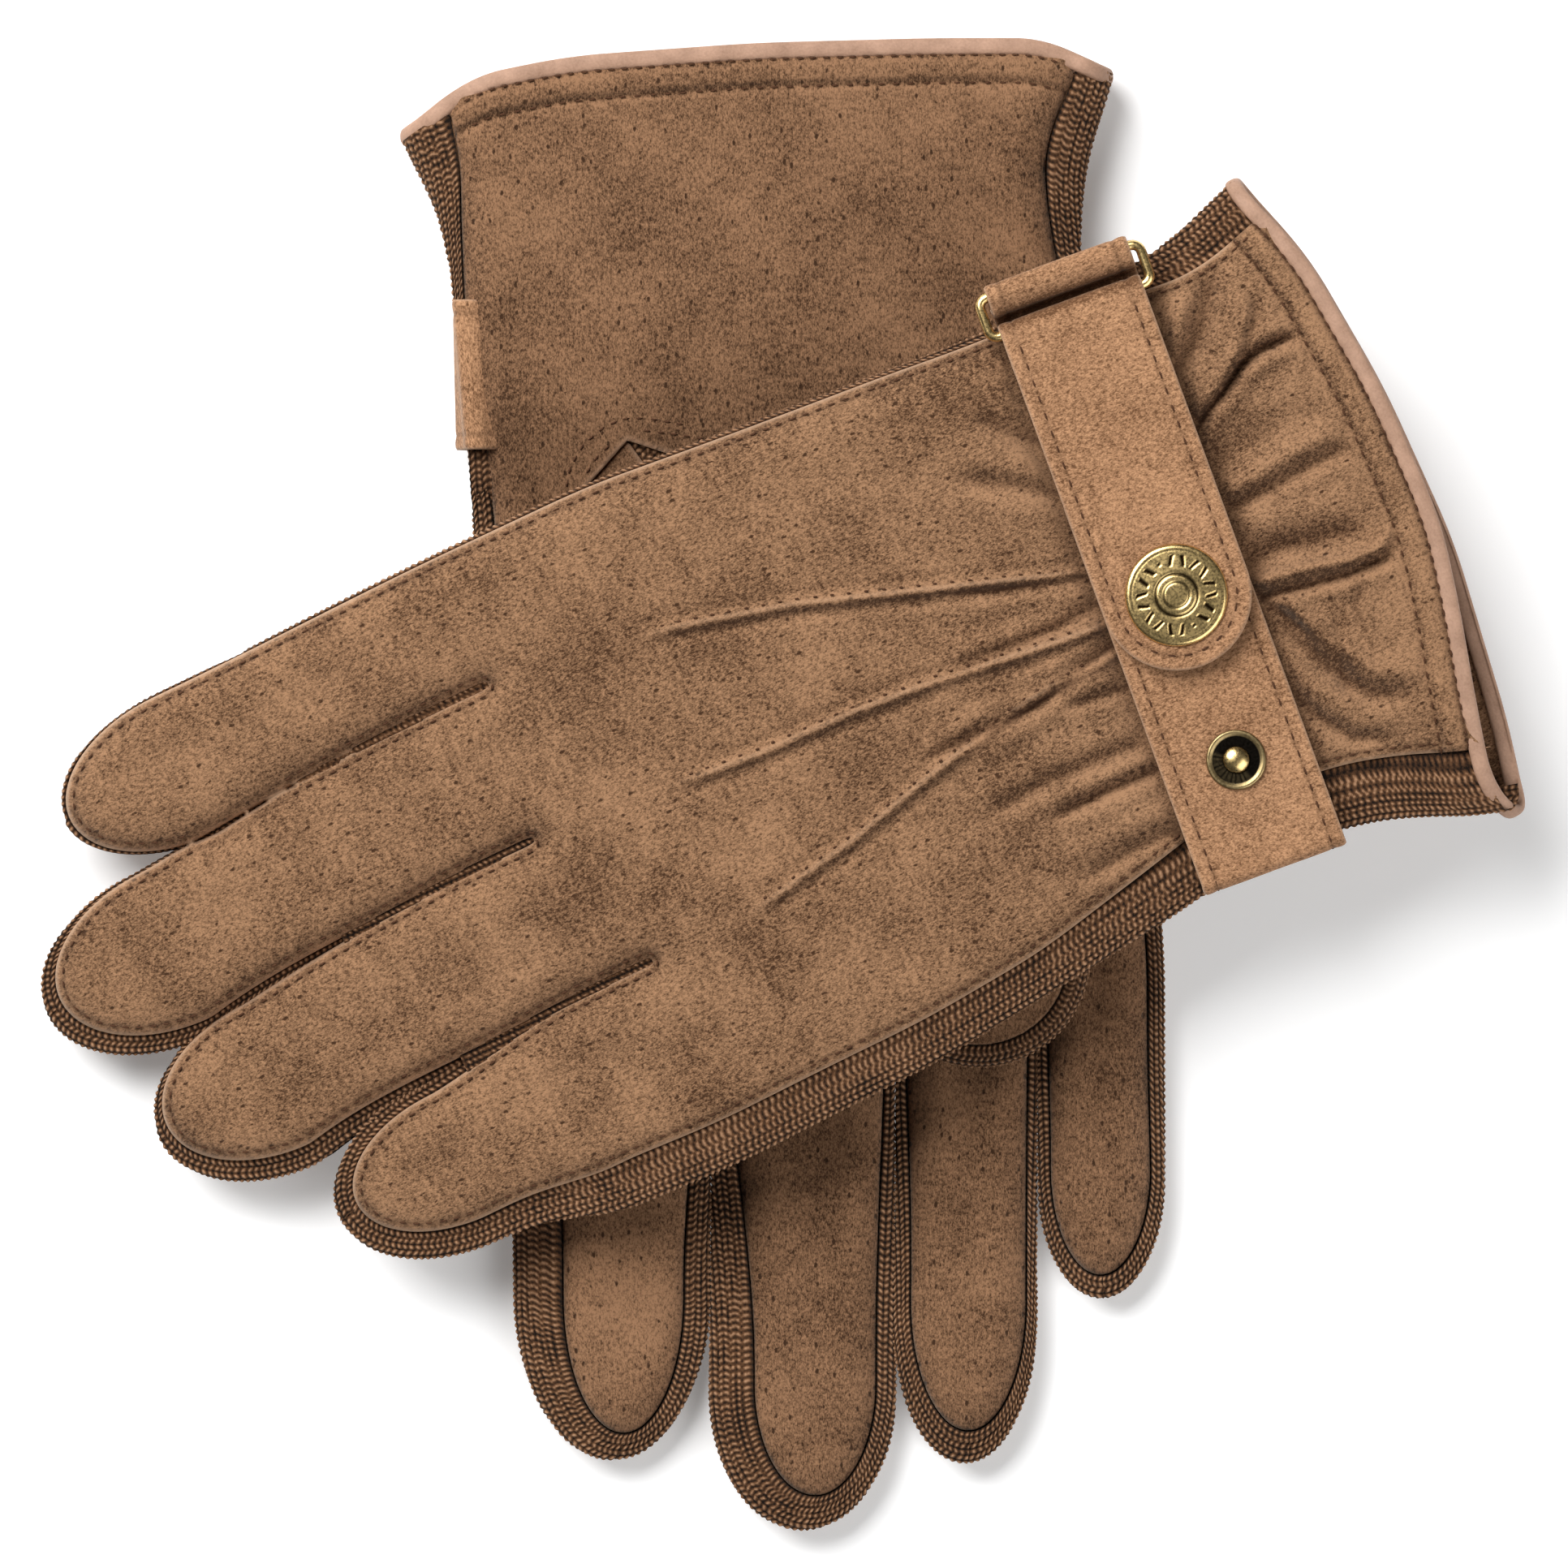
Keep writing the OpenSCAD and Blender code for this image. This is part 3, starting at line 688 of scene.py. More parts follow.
def back_shape(x, y, near, run):
    hand = smooth_step(0, 14, near)
    added = 0.10 * rough(x, y, 9, 1) + 0.22 * rough(x, y, 26, 2) * hand
    relief = np.zeros_like(x)
    for points in POINTS:
        d, t = stroke(x, y, points)
        strong = smooth_step(0, 0.12, t) * (0.7 + 0.3 * t)
        added += strong * (1.0 * np.exp(-(d / 0.75) ** 2) + 0.9 * np.exp(-(d / 3.2) ** 2) * t)
        added -= strong * 0.45 * np.exp(-((np.abs(d) - 2.1) / 0.9) ** 2)
        # Painted highlight along each point's ridge and painted shade along one side of it.
        relief += strong * 0.35 * np.exp(-((d - 0.2) / 0.35) ** 2)
        relief -= strong * 0.55 * np.exp(-((d + 1.0) / 0.40) ** 2)
    for values in FOLDS:
        height, dark = fold(x, y, *values)
        added += height
        relief += dark
    # The strap holds the leather down, and it swells on both sides of it.
    gap = np.abs(y - (STRAP_LINE[0] + STRAP_LINE[1] * x))
    added = added * smooth_step(11.5, 15.5, gap)
    added += 0.9 * smooth_step(12.5, 18, gap) * (1 - smooth_step(22, 46, gap)) * hand
    added -= 0.2 * (gap < 14)
    seam = groove(near, STITCH_IN, 0.38)
    beat = 0.65 + 0.35 * np.cos(2 * math.pi * run / STITCH_PITCH)
    added += -0.30 * seam * beat + 0.10 * groove(near, 0.55, 0.4)
    # A paler cut edge, and painted shade in the stitch groove.
    relief += 0.95 * np.exp(-(near / 0.34) ** 2) - 0.42 * seam
    # Painted shadow of the strap on the leather along both its edges.
    relief -= 0.35 * np.exp(-(np.clip(gap - 12.5, 0, 9) / 2.2) ** 2)
    return hem_welt(x, y, LEFT, "back", added, relief)


HEM_ROW = 7.0
HEM_DITCH = 2.35


def hem_welt(x, y, glove, face, added, relief):
    """Between its two rows of stitches the hem stands up in a welt."""
    hem = y - hem_height(glove, face, x)
    flat = smooth_step(HEM_ROW - 1, HEM_ROW + 2.5, hem)
    welt = 0.75 * smooth_step(HEM_DITCH, HEM_DITCH + 1.3, hem)
    welt = welt * (1 - smooth_step(HEM_ROW - 1.5, HEM_ROW, hem))
    added = added * flat + welt - 0.35 * np.exp(-((hem - HEM_ROW) / 0.5) ** 2)
    # Painted shade along the hem's stitch line and, darker, along the ditch.
    relief = relief * flat - 0.28 * np.exp(-((hem - HEM_ROW) / 0.35) ** 2)
    return added, relief - 0.8 * np.exp(-((hem - HEM_DITCH) / 0.4) ** 2)


PALM_FOLDS = [
    ([(-1, 14), (-14, 24), (-27, 35), (-42, 48)], 0.5, 2.6),
    ([(-17, 10), (-30, 20), (-41, 29), (-51, 38)], 0.7, 2.2),
    ([(-32, 7), (-42, 14), (-52, 23)], 0.8, 2.0),
    ([(-5, 30), (-17, 40), (-31, 51)], 0.4, 2.4),
    ([(-24, 26), (-34, 36), (-46, 44)], 0.4, 1.6),
]


def palm_shape(x, y, near, run):
    hand = smooth_step(0, 12, near)
    added = 0.10 * rough(x, y, 8, 11) + 0.35 * rough(x, y, 22, 12) * hand
    for points, depth, width in PALM_FOLDS:
        d, t = stroke(x, y, points)
        strong = smooth_step(0, 0.3, t) * (1 - smooth_step(0.8, 1, t))
        added += strong * depth * (0.6 * groove(d, 1.6 * width, width) - groove(d, 0, width))
    added += 0.35 * np.exp(-((near - 4.5) / 3.0) ** 2)
    # Painted shade along the palm's edge, where it tucks under.
    relief = -0.5 * np.exp(-(near / 0.5) ** 2)
    return hem_welt(x, y, RIGHT, "palm", added, relief)


def plain_shape(x, y, near, run):
    hand = smooth_step(0, 12, near)
    added = 0.12 * rough(x, y, 9, 21) + 0.2 * rough(x, y, 24, 22) * hand
    seam = groove(near, STITCH_IN, 0.5)
    # A paler cut edge, and painted shade in the stitch groove.
    return added - 0.25 * seam, 0.7 * np.exp(-(near / 0.4) ** 2) - 0.4 * seam


THUMB_NOTCH = np.array([(21.3, 65.0), (28.6, 73.2), (33, 79), (22, 84), (9, 76), (5.5, 69.5),
                        (11, 68.4)])

# Painted light on the fingertips, which lean away from the lamp, and the back lighter near the cuff.
left_back, left_back_edge = hand_panel(LEFT, "back", 0.52, back_shape, back_suede, ["left_back_panel"],
                                       tone_and_shade=lambda x, y: 0.04 * smooth_step(150, 190, y)
                                       + 0.12 * (1 - smooth_step(7, 22, y)))
hand_panel(LEFT, "palm", 0.9, plain_shape, palm_suede, ["left_palm_panel"])
# The palm lighter near the cuff, and the fingers lighter, most on the index side.
right_palm, _ = hand_panel(RIGHT, "palm", 0.52, palm_shape, palm_suede, ["right_palm_panel"],
                           notch=THUMB_NOTCH, tone_and_shade=lambda x, y: 0.08 * (1 - smooth_step(12, 50, y))
                           + smooth_step(130, 160, y) * (0.16 * smooth_step(0, 10, x) + 0.03))
hand_panel(RIGHT, "back", 0.9, plain_shape, back_suede, ["right_back_panel"])

# ---- Knitted walls ----
# The side walls and the fourchettes between the fingers are one brown rib knit. Its columns
# of loops run along the seam, and it is caught between palm and back.

COLUMN = 2.0            # across one column of loops
COURSE = 1.15           # along one loop
KNIT_RISE = 0.46


def knit_height(run, across):
    """Chains of V loops: two slanting strands a column, with holes between them."""
    column = across / COLUMN
    a = np.abs((column - np.floor(column)) * 2 - 1)
    wander = 0.10 * np.sin(run * 0.9 + np.floor(column) * 2.1)
    phase = 2 * math.pi * (run / COURSE + wander - 0.42 * a + 0.37 * np.floor(column))
    strand = np.sin(np.clip(a, 0.02, 0.98) * math.pi) ** 0.55
    return strand * (0.22 + 0.78 * (0.5 + 0.5 * np.cos(phase)) ** 0.8)


def make_knit():
    material, tree = new_material("rib knit")
    place = cloth_place(tree)
    # The knit's colour follows the loops' height: painted shade down to near black in the holes and
    # between the columns, painted highlight on the loops' tops, over the yarn's own mottled tone.
    tone = swing(tree, noise_value(tree, place, 2.4, 3.0, 0.6), 0.55, relief_value(tree))
    tone = swing(tree, noise_value(tree, place, 0.12, 2.0), 0.35, tone)
    ramp = node(tree, "ShaderNodeValToRGB", {"Fac": tone})
    stops = ramp.color_ramp.elements
    stops[0].position, stops[0].color = 0.16, (0.005, 0.0018, 0.0006, 1)
    stops[1].position, stops[1].color = 1.0, (0.40, 0.225, 0.125, 1)
    middle = stops.new(0.56)
    middle.color = (0.105, 0.047, 0.020, 1)
    finish_material(tree, ramp.outputs[0], (tone, 0.6, 0.0003), {
        "Roughness": 0.9, "Specular IOR Level": 0.15, "Sheen Weight": 0.15,
        "Sheen Tint": (1.0, 0.85, 0.7, 1)})
    return material


knit = make_knit()


def inward(path):
    t = np.gradient(path, axis=0)
    t /= np.linalg.norm(t, axis=1)[:, None] + 1e-9
    return np.stack([-t[:, 1], t[:, 0]], 1)


def knit_band(name, lay, outer, back, palm, z_back, z_palm, seen, body, nodes,
              tuck_back, tuck_palm, pitch=0.24, rows=46, hem=None):
    """Sweeps a knitted wall from the back's seam, out to the outer line, to the palm's seam.
    seen is the seam, back or palm, that its columns are counted from. A tuck is how far the
    knit runs in under the suede, and how far up."""
    step = np.linalg.norm(np.diff(outer, axis=0), axis=1)
    run = np.concatenate([[0], np.cumsum(step)])
    n = max(int(run[-1] / pitch), 24)
    back = back + inward(back) * tuck_back[0]
    palm = palm + inward(palm) * tuck_palm[0]
    z_back = z_back + tuck_back[1]
    z_palm = z_palm - tuck_palm[1]
    s_line, t_line = np.linspace(0, 1, n + 1), np.linspace(0, 1, rows + 1)

    def sample(values):
        return np.interp(s_line, run / run[-1], values)[:, None]

    o, b, p = ([sample(line[:, k]) for k in (0, 1)] for line in (outer, back, palm))
    out = np.sin(t_line * math.pi)[None, :] ** 0.85
    first = (t_line < 0.5)[None, :]
    x, y = (np.where(first, b[k], p[k]) for k in (0, 1))
    x, y = x + (o[0] - x) * out, y + (o[1] - y) * out
    zb, zp = sample(z_back), sample(z_palm)
    z = (zb + zp) / 2 + (zb - zp) / 2 * np.cos(t_line * math.pi)[None, :]
    if hem is not None:
        y = y + hem(x, y, (1 + np.cos(t_line * math.pi))[None, :] / 2)
    P = lay(x, y, z) / MM
    across = np.concatenate([np.zeros((n + 1, 1)),
                             np.cumsum(np.linalg.norm(np.diff(P, axis=1), axis=2), axis=1)], 1)
    if seen == "palm":
        across = across[:, -1:] - across
    along = np.repeat(s_line[:, None] * run[-1], rows + 1, 1)
    height = knit_height(along, across)
    core = lay(*(o[k] * 0.7 + (b[k] + p[k]) * 0.15 for k in (0, 1)), (zb + zp) / 2) / MM
    obj = woven_patch(name, P, core, KNIT_RISE * (height - 0.35) + 0.35 * groove(across, 1.0, 0.9),
                      along, across, height)
    finish_piece(obj, body, nodes, knit)


def woven_patch(name, P, core, lift, u, v, relief):
    """A sheet through a grid of points, lifted off a core line, with its map and relief."""
    n, rows = P.shape[0] - 1, P.shape[1] - 1
    ds, dt = np.gradient(P, axis=0), np.gradient(P, axis=1)
    normal = np.cross(ds, dt)
    normal /= np.linalg.norm(normal, axis=2)[:, :, None] + 1e-9
    inside_out = np.sum(normal * (P - core)) < 0
    if inside_out:
        normal = -normal
    P = P + normal * lift[:, :, None]

    def pick(grid):
        return lambda s, t: grid[np.rint(s * n).astype(int), np.rint(t * rows).astype(int)]

    obj = patch(name, n, rows, pick(P * MM), relief=pick(relief),
                uv=lambda s, t: (pick(u)(s, t), pick(v)(s, t)))
    if inside_out:
        obj.data.flip_normals()
    return obj


def glove_walls(glove, seen, tuck_back, tuck_palm):
    outer, tips = outline(glove)
    back, fall_b = seam_fall(glove, "back")
    palm, fall_p = seam_fall(glove, "palm")
    # Where the suede comes out to the side, the knit stays in behind its edge.
    close = np.clip(1.5 - np.linalg.norm(outer - (back if seen == "back" else palm), axis=1), 0, 1.5)
    close[tips[0]:] = 0
    outer = outer + inward(outer) * close[:, None]
    z_back = eased(back[:, 1], glove["back_line"], 4.0) - fall_b
    z_palm = eased(palm[:, 1], glove["palm_line"], 4.0) + fall_p
    cuts = [0] + tips + [len(outer) - 1]
    names = ["thumb_side_knit", "fourchette_index_middle", "fourchette_middle_ring",
             "fourchette_ring_little", "little_side_knit"]

    def hem(x, y, share):
        """Draws the wall's end to the line from the back's hem to the palm's."""
        line = cuff_edge(glove, x)
        end = share * hem_height(glove, "back", x) + (1 - share) * hem_height(glove, "palm", x)
        return (end - line) * (1 - smooth_step(0, 26, y - line))

    side = glove["name"]
    for k, piece in enumerate(names):
        part = slice(cuts[k], cuts[k + 1] + 1)
        knit_band(side + "_" + piece + "_cloth", glove["lay"], outer[part], back[part], palm[part],
                  z_back[part], z_palm[part], seen, side + "_glove", [side + "_" + piece],
                  tuck_back, tuck_palm, hem=hem)


glove_walls(LEFT, "back", (0.8, -0.8), (0.6, -0.6))
glove_walls(RIGHT, "palm", (0.6, -0.6), (-0.2, 0.5))


def web_shape(x, y, near, run):
    height = knit_height(y, x)
    return KNIT_RISE * height, height


# A knitted web closes the fork between each two fingers from inside.
# WEB_DARK is painted shade for the web deep in its fork, written to the shading attribute that the
# knit's material does not read.
WEB_DEEP, WEB_DARK = 3.4, -0.4
for fork, (cross, low) in zip(("index_middle", "middle_ring", "ring_little"), LEFT["crotch"]):
    web = [(cross + 5, low - 3), (cross + 5, low + 36), (cross - 6, low + 36), (cross - 6, low - 3)]
    cut_suede("left_web_" + fork, lambda x, y, h: face_place(LEFT, "back")(x, y, h - WEB_DEEP),
              np.array(web, float), 0.5, web_shape, knit, "left_glove", [],
              tone_and_shade=lambda x, y: WEB_DARK)

# ---- Thumbs ----
# A thumb is a front and a back of suede joined by a knitted wall. It grows out of the palm
# at a pointed gusset and lies folded across the palm.

THUMB_WALL = 3.4        # how far the suede stops short of the knit's outermost line
THUMB_WAIST = 0.8       # how much the thumb narrows at its middle


def thumb_outline(glove, inset):
    (x0, y0), (x1, y1) = glove["thumb"][:2]
    r = glove["thumb"][2] - inset
    turn = math.atan2(y1 - y0, x1 - x0)
    length = math.hypot(x1 - x0, y1 - y0)
    a = np.linspace(-math.pi / 2, math.pi / 2, 61)
    straight = np.linspace(0, length, 60)[1:-1]
    u = np.concatenate([straight, length + r * np.cos(a), straight[::-1], -r * np.cos(a)])
    side = r - THUMB_WAIST * np.sin(straight / length * math.pi)
    v = np.concatenate([-side, r * np.sin(a), side[::-1], -r * np.sin(a)])
    return np.stack([x0 + u * math.cos(turn) - v * math.sin(turn),
                     y0 + u * math.sin(turn) + v * math.cos(turn)], 1)


def thumb_shape(x, y, near, run):
    hand = smooth_step(0, 8, near)
    added = 0.10 * rough(x, y, 8, 31) + 0.15 * rough(x, y, 18, 32) * hand
    edge = groove(near, 1.0, 0.35)
    # A paler cut edge, and painted shade in the groove beside it.
    return added - 0.15 * edge, 0.85 * np.exp(-(near / 0.35) ** 2) - 0.3 * edge


def make_thumb(glove, fall):
    side, thick = glove["name"], glove["thumb"][3]
    body = side + "_glove"
    plate = thumb_outline(glove, THUMB_WALL)[::3]
    cut_suede(side + "_thumb_front_cloth", lambda x, y, h: glove["lay"](x, y, -thick - h), plate, 0.45,
              thumb_shape, palm_suede, body, [side + "_thumb_front"], fall=fall, roll=5.5)
    cut_suede(side + "_thumb_back_cloth", lambda x, y, h: glove["lay"](x, y, h - 0.3), plate, 0.9,
              plain_shape, palm_suede, body, [side + "_thumb_back"], fall=0.2)
    outer = thumb_outline(glove, 0.0)
    edge = thumb_outline(glove, THUMB_WALL)
    start = len(outer) - 30
    outer, edge = (np.roll(line, -start, 0) for line in (outer, edge))
    outer, edge = (np.concatenate([line, line[:1]]) for line in (outer, edge))
    ones = np.ones(len(outer))
    knit_band(side + "_thumb_knit_cloth", glove["lay"], outer, edge, edge, -0.5 * ones,
              (fall - thick) * ones, "palm", body, [side + "_thumb_knit"], (0.6, 0.0), (0.2, 0.4),
              rows=34)


make_thumb(LEFT, 1.9)
make_thumb(RIGHT, 1.5)


def gusset_shape(x, y, near, run):
    return 0.08 * rough(x, y, 6, 41), 1.0 * np.exp(-(near / 0.5) ** 2)


def ease_shape(x, y, near, run):
    along = (x - 21.3) * 0.7 - (y - 65.0) * 0.7
    across = (x - 21.3) * 0.7 + (y - 65.0) * 0.7
    height = knit_height(across, along)
    return 0.4 * height - 0.2, height


GUSSETS = {"left": (LEFT, [(21, 64.5), (33, 80), (40, 92), (14, 92), (14, 80)]),
           "right": (RIGHT, [(23.2, 64.2), (31.5, 73.5), (37, 80), (38, 90), (14, 90), (16.6, 71.6),
                             (20.9, 65.6)])}
for side, (glove, loop) in GUSSETS.items():
    cut_suede(side + "_gusset", lambda x, y, h, g=glove: face_place(g, "palm")(x, y, h - 0.55),
              np.array(loop, float), 0.4, gusset_shape, palm_suede, side + "_glove",
              [side + "_thumb_gusset"])
cut_suede("right_gusset_knit", lambda x, y, h: face_place(RIGHT, "palm")(x, y, h - 1.1),
          np.array([(23, 63.2), (21, 74), (16, 84), (2, 80), (1, 68), (11, 65.0)], float), 0.3,
          ease_shape, knit, "right_glove", [])

# ---- Cuff binding ----
# A strip of smooth pinkish tan leather, folded over the raw edge all round the cuff's mouth
# and stitched down just beside it.

BINDING_WIDE = 2.8
BINDING_THICK = 1.9
BINDING_OVER = 0.5      # how far it stands out past the raw edge


def make_binding_leather():
    material, tree = new_material("binding leather")
    place = cloth_place(tree)
    cloud = noise_value(tree, place, 0.25, 4.0)
    grain = noise_value(tree, place, 2.2, 3.0)
    colour = mix(tree, swing(tree, grain, 0.6, cloud), (0.22, 0.125, 0.078), (0.53, 0.325, 0.225),
                 clamp_factor=True)
    colour = mix(tree, sunk_share(tree, relief_value(tree)), colour, (0.10, 0.04, 0.018))
    finish_material(tree, colour, (grain, 0.35, 0.0002), {"Roughness": 0.62, "Specular IOR Level": 0.3})
    return material


binding_leather = make_binding_leather()


def binding_path(glove):
    """The cuff's rim as a closed line in space, with the outward direction at each point."""
    outer, _ = outline(glove)
    side_i, side_l = outer[0][0], outer[-1][0]
    backs, _ = outline(glove, glove["back_inset"])
    palms, _ = outline(glove, glove["palm_inset"])
    n = 300

    def face_line(face, edge, lift):
        low, high = edge[-1][0], edge[0][0]
        x = np.linspace(high, low, n)
        y = hem_height(glove, face, x)
        z = eased(y + 2, glove[face + "_line"], 4.0) + lift
        roll = smooth_step(0, 9, x - low) * smooth_step(0, 9, high - x)
        drop = (1 - roll) * 0.9
        return np.stack([x, y, z + (-drop if face == "back" else drop)], 1)

    back, palm = face_line("back", backs, -0.6), face_line("palm", palms, 0.6)

    def corner(a, b, x_out, m=90):
        angle = np.linspace(0, math.pi, m)[1:-1]
        mid = (a + b) / 2
        x = mid[0] + (a[0] - b[0]) / 2 * np.cos(angle) + (x_out - mid[0]) * np.sin(angle) ** 0.85
        share = (1 + np.cos(angle)) / 2
        faces = ("back", "palm") if a[2] > b[2] else ("palm", "back")
        y = share * hem_height(glove, faces[0], x) + (1 - share) * hem_height(glove, faces[1], x)
        z = mid[2] + (a[2] - b[2]) / 2 * np.cos(angle)
        return np.stack([x, y, z], 1)

    path = np.concatenate([back, corner(back[-1], palm[-1], side_l + 0.8), palm[::-1],
                           corner(palm[0], back[0], side_i - 0.8)])
    for _ in range(10):
        path = (np.roll(path, 1, 0) + 2 * path + np.roll(path, -1, 0)) / 4
    return path


def closed_sweep(name, path, out, into, section, lay):
    """Sweeps a closed section round a closed path. out and into are the section's two axes."""
    n, m = len(path), len(section[0])
    ring = path[:, None, :] + out[:, None, :] * section[0][None, :, None] \
        + into[:, None, :] * section[1][None, :, None]
    step = np.linalg.norm(np.diff(np.concatenate([path, path[:1]]), axis=0), axis=1)
    run = np.concatenate([[0], np.cumsum(step)])
    ring = np.concatenate([ring, ring[:1]], 0)
    ring = np.concatenate([ring, ring[:, :1]], 1)
    edge = np.concatenate([[0], np.cumsum(np.hypot(*np.diff(np.array(section), axis=1)))])
    edge = np.append(edge, edge[-1] + 0.3)
    world = lay(ring[..., 0], ring[..., 1], ring[..., 2])

    def at(s, t):
        return np.rint(s * n).astype(int), np.rint(t * m).astype(int)

    obj = patch(name, n, m, lambda s, t: world[at(s, t)], relief=lambda s, t: np.zeros(len(s)),
                uv=lambda s, t: (run[at(s, t)[0]], edge[at(s, t)[1]]))
    bm = bmesh.new()
    bm.from_mesh(obj.data)
    bmesh.ops.remove_doubles(bm, verts=bm.verts, dist=1e-7)
    bmesh.ops.recalc_face_normals(bm, faces=bm.faces)
    bm.to_mesh(obj.data)
    bm.free()
    obj.data.shade_smooth()
    return obj


def bind_cuff(glove):
    path = binding_path(glove)
    t = np.roll(path, -1, 0) - np.roll(path, 1, 0)
    t /= np.linalg.norm(t, axis=1)[:, None]
    into = np.tile([0.0, 1.0, 0.0], (len(path), 1))
    into -= t * np.sum(into * t, axis=1)[:, None]
    into /= np.linalg.norm(into, axis=1)[:, None]
    out = np.cross(into, t)
    if np.sum(out * (path - path.mean(0))) < 0:
        out = -out
    a = np.linspace(0, 2 * math.pi, 33)[:-1]
    half, thick = BINDING_WIDE / 2, BINDING_THICK / 2
    section = (thick * np.sign(np.sin(a)) * np.abs(np.sin(a)) ** 0.8,
               half * np.sign(np.cos(a)) * np.abs(np.cos(a)) ** 0.85 + half - BINDING_OVER)
    side = glove["name"]
    obj = closed_sweep(side + "_cuff_binding_cloth", path, out, into, section, glove["lay"])
    finish_piece(obj, side + "_glove", [side + "_cuff_binding"], binding_leather)


bind_cuff(LEFT)
bind_cuff(RIGHT)

# ---- Wrist straps ----
# A strap of doubled suede with stitched edges. The keeper comes round the index side from the
# palm's seam and holds the ring; the tab folds round the ring's other bar and snaps over the
# base strap, which comes round the little finger's side.

STRAP_WIDE = 25.0
LEATHER = 1.04          # thickness of a strap
RING_PITCH = 6.8        # between the ring's two bars
BAR_HIGH = 2.75         # middle of the ring's bars, off the back
LOOP = 1.95             # radius of the tab's turn round its bar
TAB_TOP = 4.7
BASE_TOP = 1.6
NOSE = -14.3            # the tab's round end
CAP_AT = -1.8
STUD_PITCH = 29.0
STRAP_STITCH_IN = 2.4
END_STITCH_IN = 3.4
# Painted shade on a strap's turned-under end.
TURN_PAINTED_SHADE = -0.5      # shade of a strap's turned-under end

# Where each strap lies: its middle line and turn, its height, the ring's outer bar, the base's
# end, and the keeper's line round the ring's bar. The base is skewed and the keeper slants as
# they follow the glove's sides.
LEFT["strap"] = {
    "y": 44.4, "turn": math.radians(-4.9), "z": 9.6, "bar": 55.2, "end": -50.2, "skew": 0.13,
    "slant": 0.0,
    "keeper": [(53.5, -7.4), (53.5, -1.2), (54.4, 0.5), (56.3, 1.1), (57.15, 2.4), (56.9, 3.9),
               (55.4, 4.75), (54.1, 4.6), (52.5, 3.6), (51.6, 2.6), (51.6, 1.1), (50.4, -0.5),
               (47.5, -1.1)]}
RIGHT["strap"] = {
    "y": 54.0, "turn": 0.0, "z": 3.2, "bar": 45.8, "end": -59.7, "skew": 0.0, "slant": -0.082,
    "keeper": [(44.6, -5.0), (47.2, -6.6), (49.0, -6.75), (50.2, -6.1), (50.6, -4.6), (50.6, 0.2),
               (50.0, 2.2), (48.2, 4.3), (45.8, 4.75), (44.3, 4.0), (43.85, 2.75), (44.5, 1.3),
               (45.8, 0.8), (49, 0.9)]}


def lay_strap(glove):
    """Lays strap millimetres: s along the strap to the index side, w across it, z off the back."""
    strap = glove["strap"]
    c, d = math.cos(strap["turn"]), math.sin(strap["turn"])
    return lambda s, w, z: glove["lay"](s * c - w * d, strap["y"] + s * d + w * c, strap["z"] + z)


def strip_place(glove, bends, lean=lambda u, w: 0.0):
    """Bends a strip: its length follows a line of (s, z) places on the strip's outer face.
    lean(u, w) moves it along s."""
    line = np.array(bends, float)
    fine = [line[0]]
    for p, q in zip(line[:-1], line[1:]):
        count = max(int(np.linalg.norm(q - p) / 0.1), 1)
        fine += [p + (q - p) * k / count for k in range(1, count + 1)]
    fine = np.array(fine)
    for _ in range(40):
        fine[1:-1] = (fine[:-2] + 2 * fine[1:-1] + fine[2:]) / 4
    run = np.concatenate([[0], np.cumsum(np.linalg.norm(np.diff(fine, axis=0), axis=1))])
    tangent = np.gradient(fine, axis=0)
    tangent /= np.linalg.norm(tangent, axis=1)[:, None]
    lay = lay_strap(glove)

    def place(u, w, h):
        s, z, ts, tz = (np.interp(u, run, line[:, k]) for line in (fine, tangent) for k in (0, 1))
        return lay(s + lean(u, w) - tz * h, w, z + ts * h)

    return place, run[-1]


def arc_bend(s, z, r, start, end, count=14):
    a = np.radians(np.linspace(start, end, count))
    return list(zip(s + r * np.cos(a), z + r * np.sin(a)))


def strap_shape(round_nose=False):
    def shape(u, w, near, run):
        side = near if round_nose else STRAP_WIDE / 2 - np.abs(w)
        seam = groove(side, STRAP_STITCH_IN, 0.42)
        added = 0.05 * rough(u, w, 7, 51) - 0.14 * seam + 0.06 * groove(side, 1.0, 0.6)
        # A paler cut edge, and painted shade in the stitch groove.
        relief = 0.6 * np.exp(-(near / 0.28) ** 2) - 0.30 * seam
        return added, relief
    return shape


def strip_loop(length, round_nose=False):
    half = STRAP_WIDE / 2
    if not round_nose:
        return np.array([(0, -half), (length, -half), (length, half), (0, half)], float)
    a = np.radians(np.linspace(90, 270, 50))
    return np.array([(half + half * math.cos(t), half * math.sin(t)) for t in a]
                    + [(length, -half), (length, half)], float)


strap_lines = {}


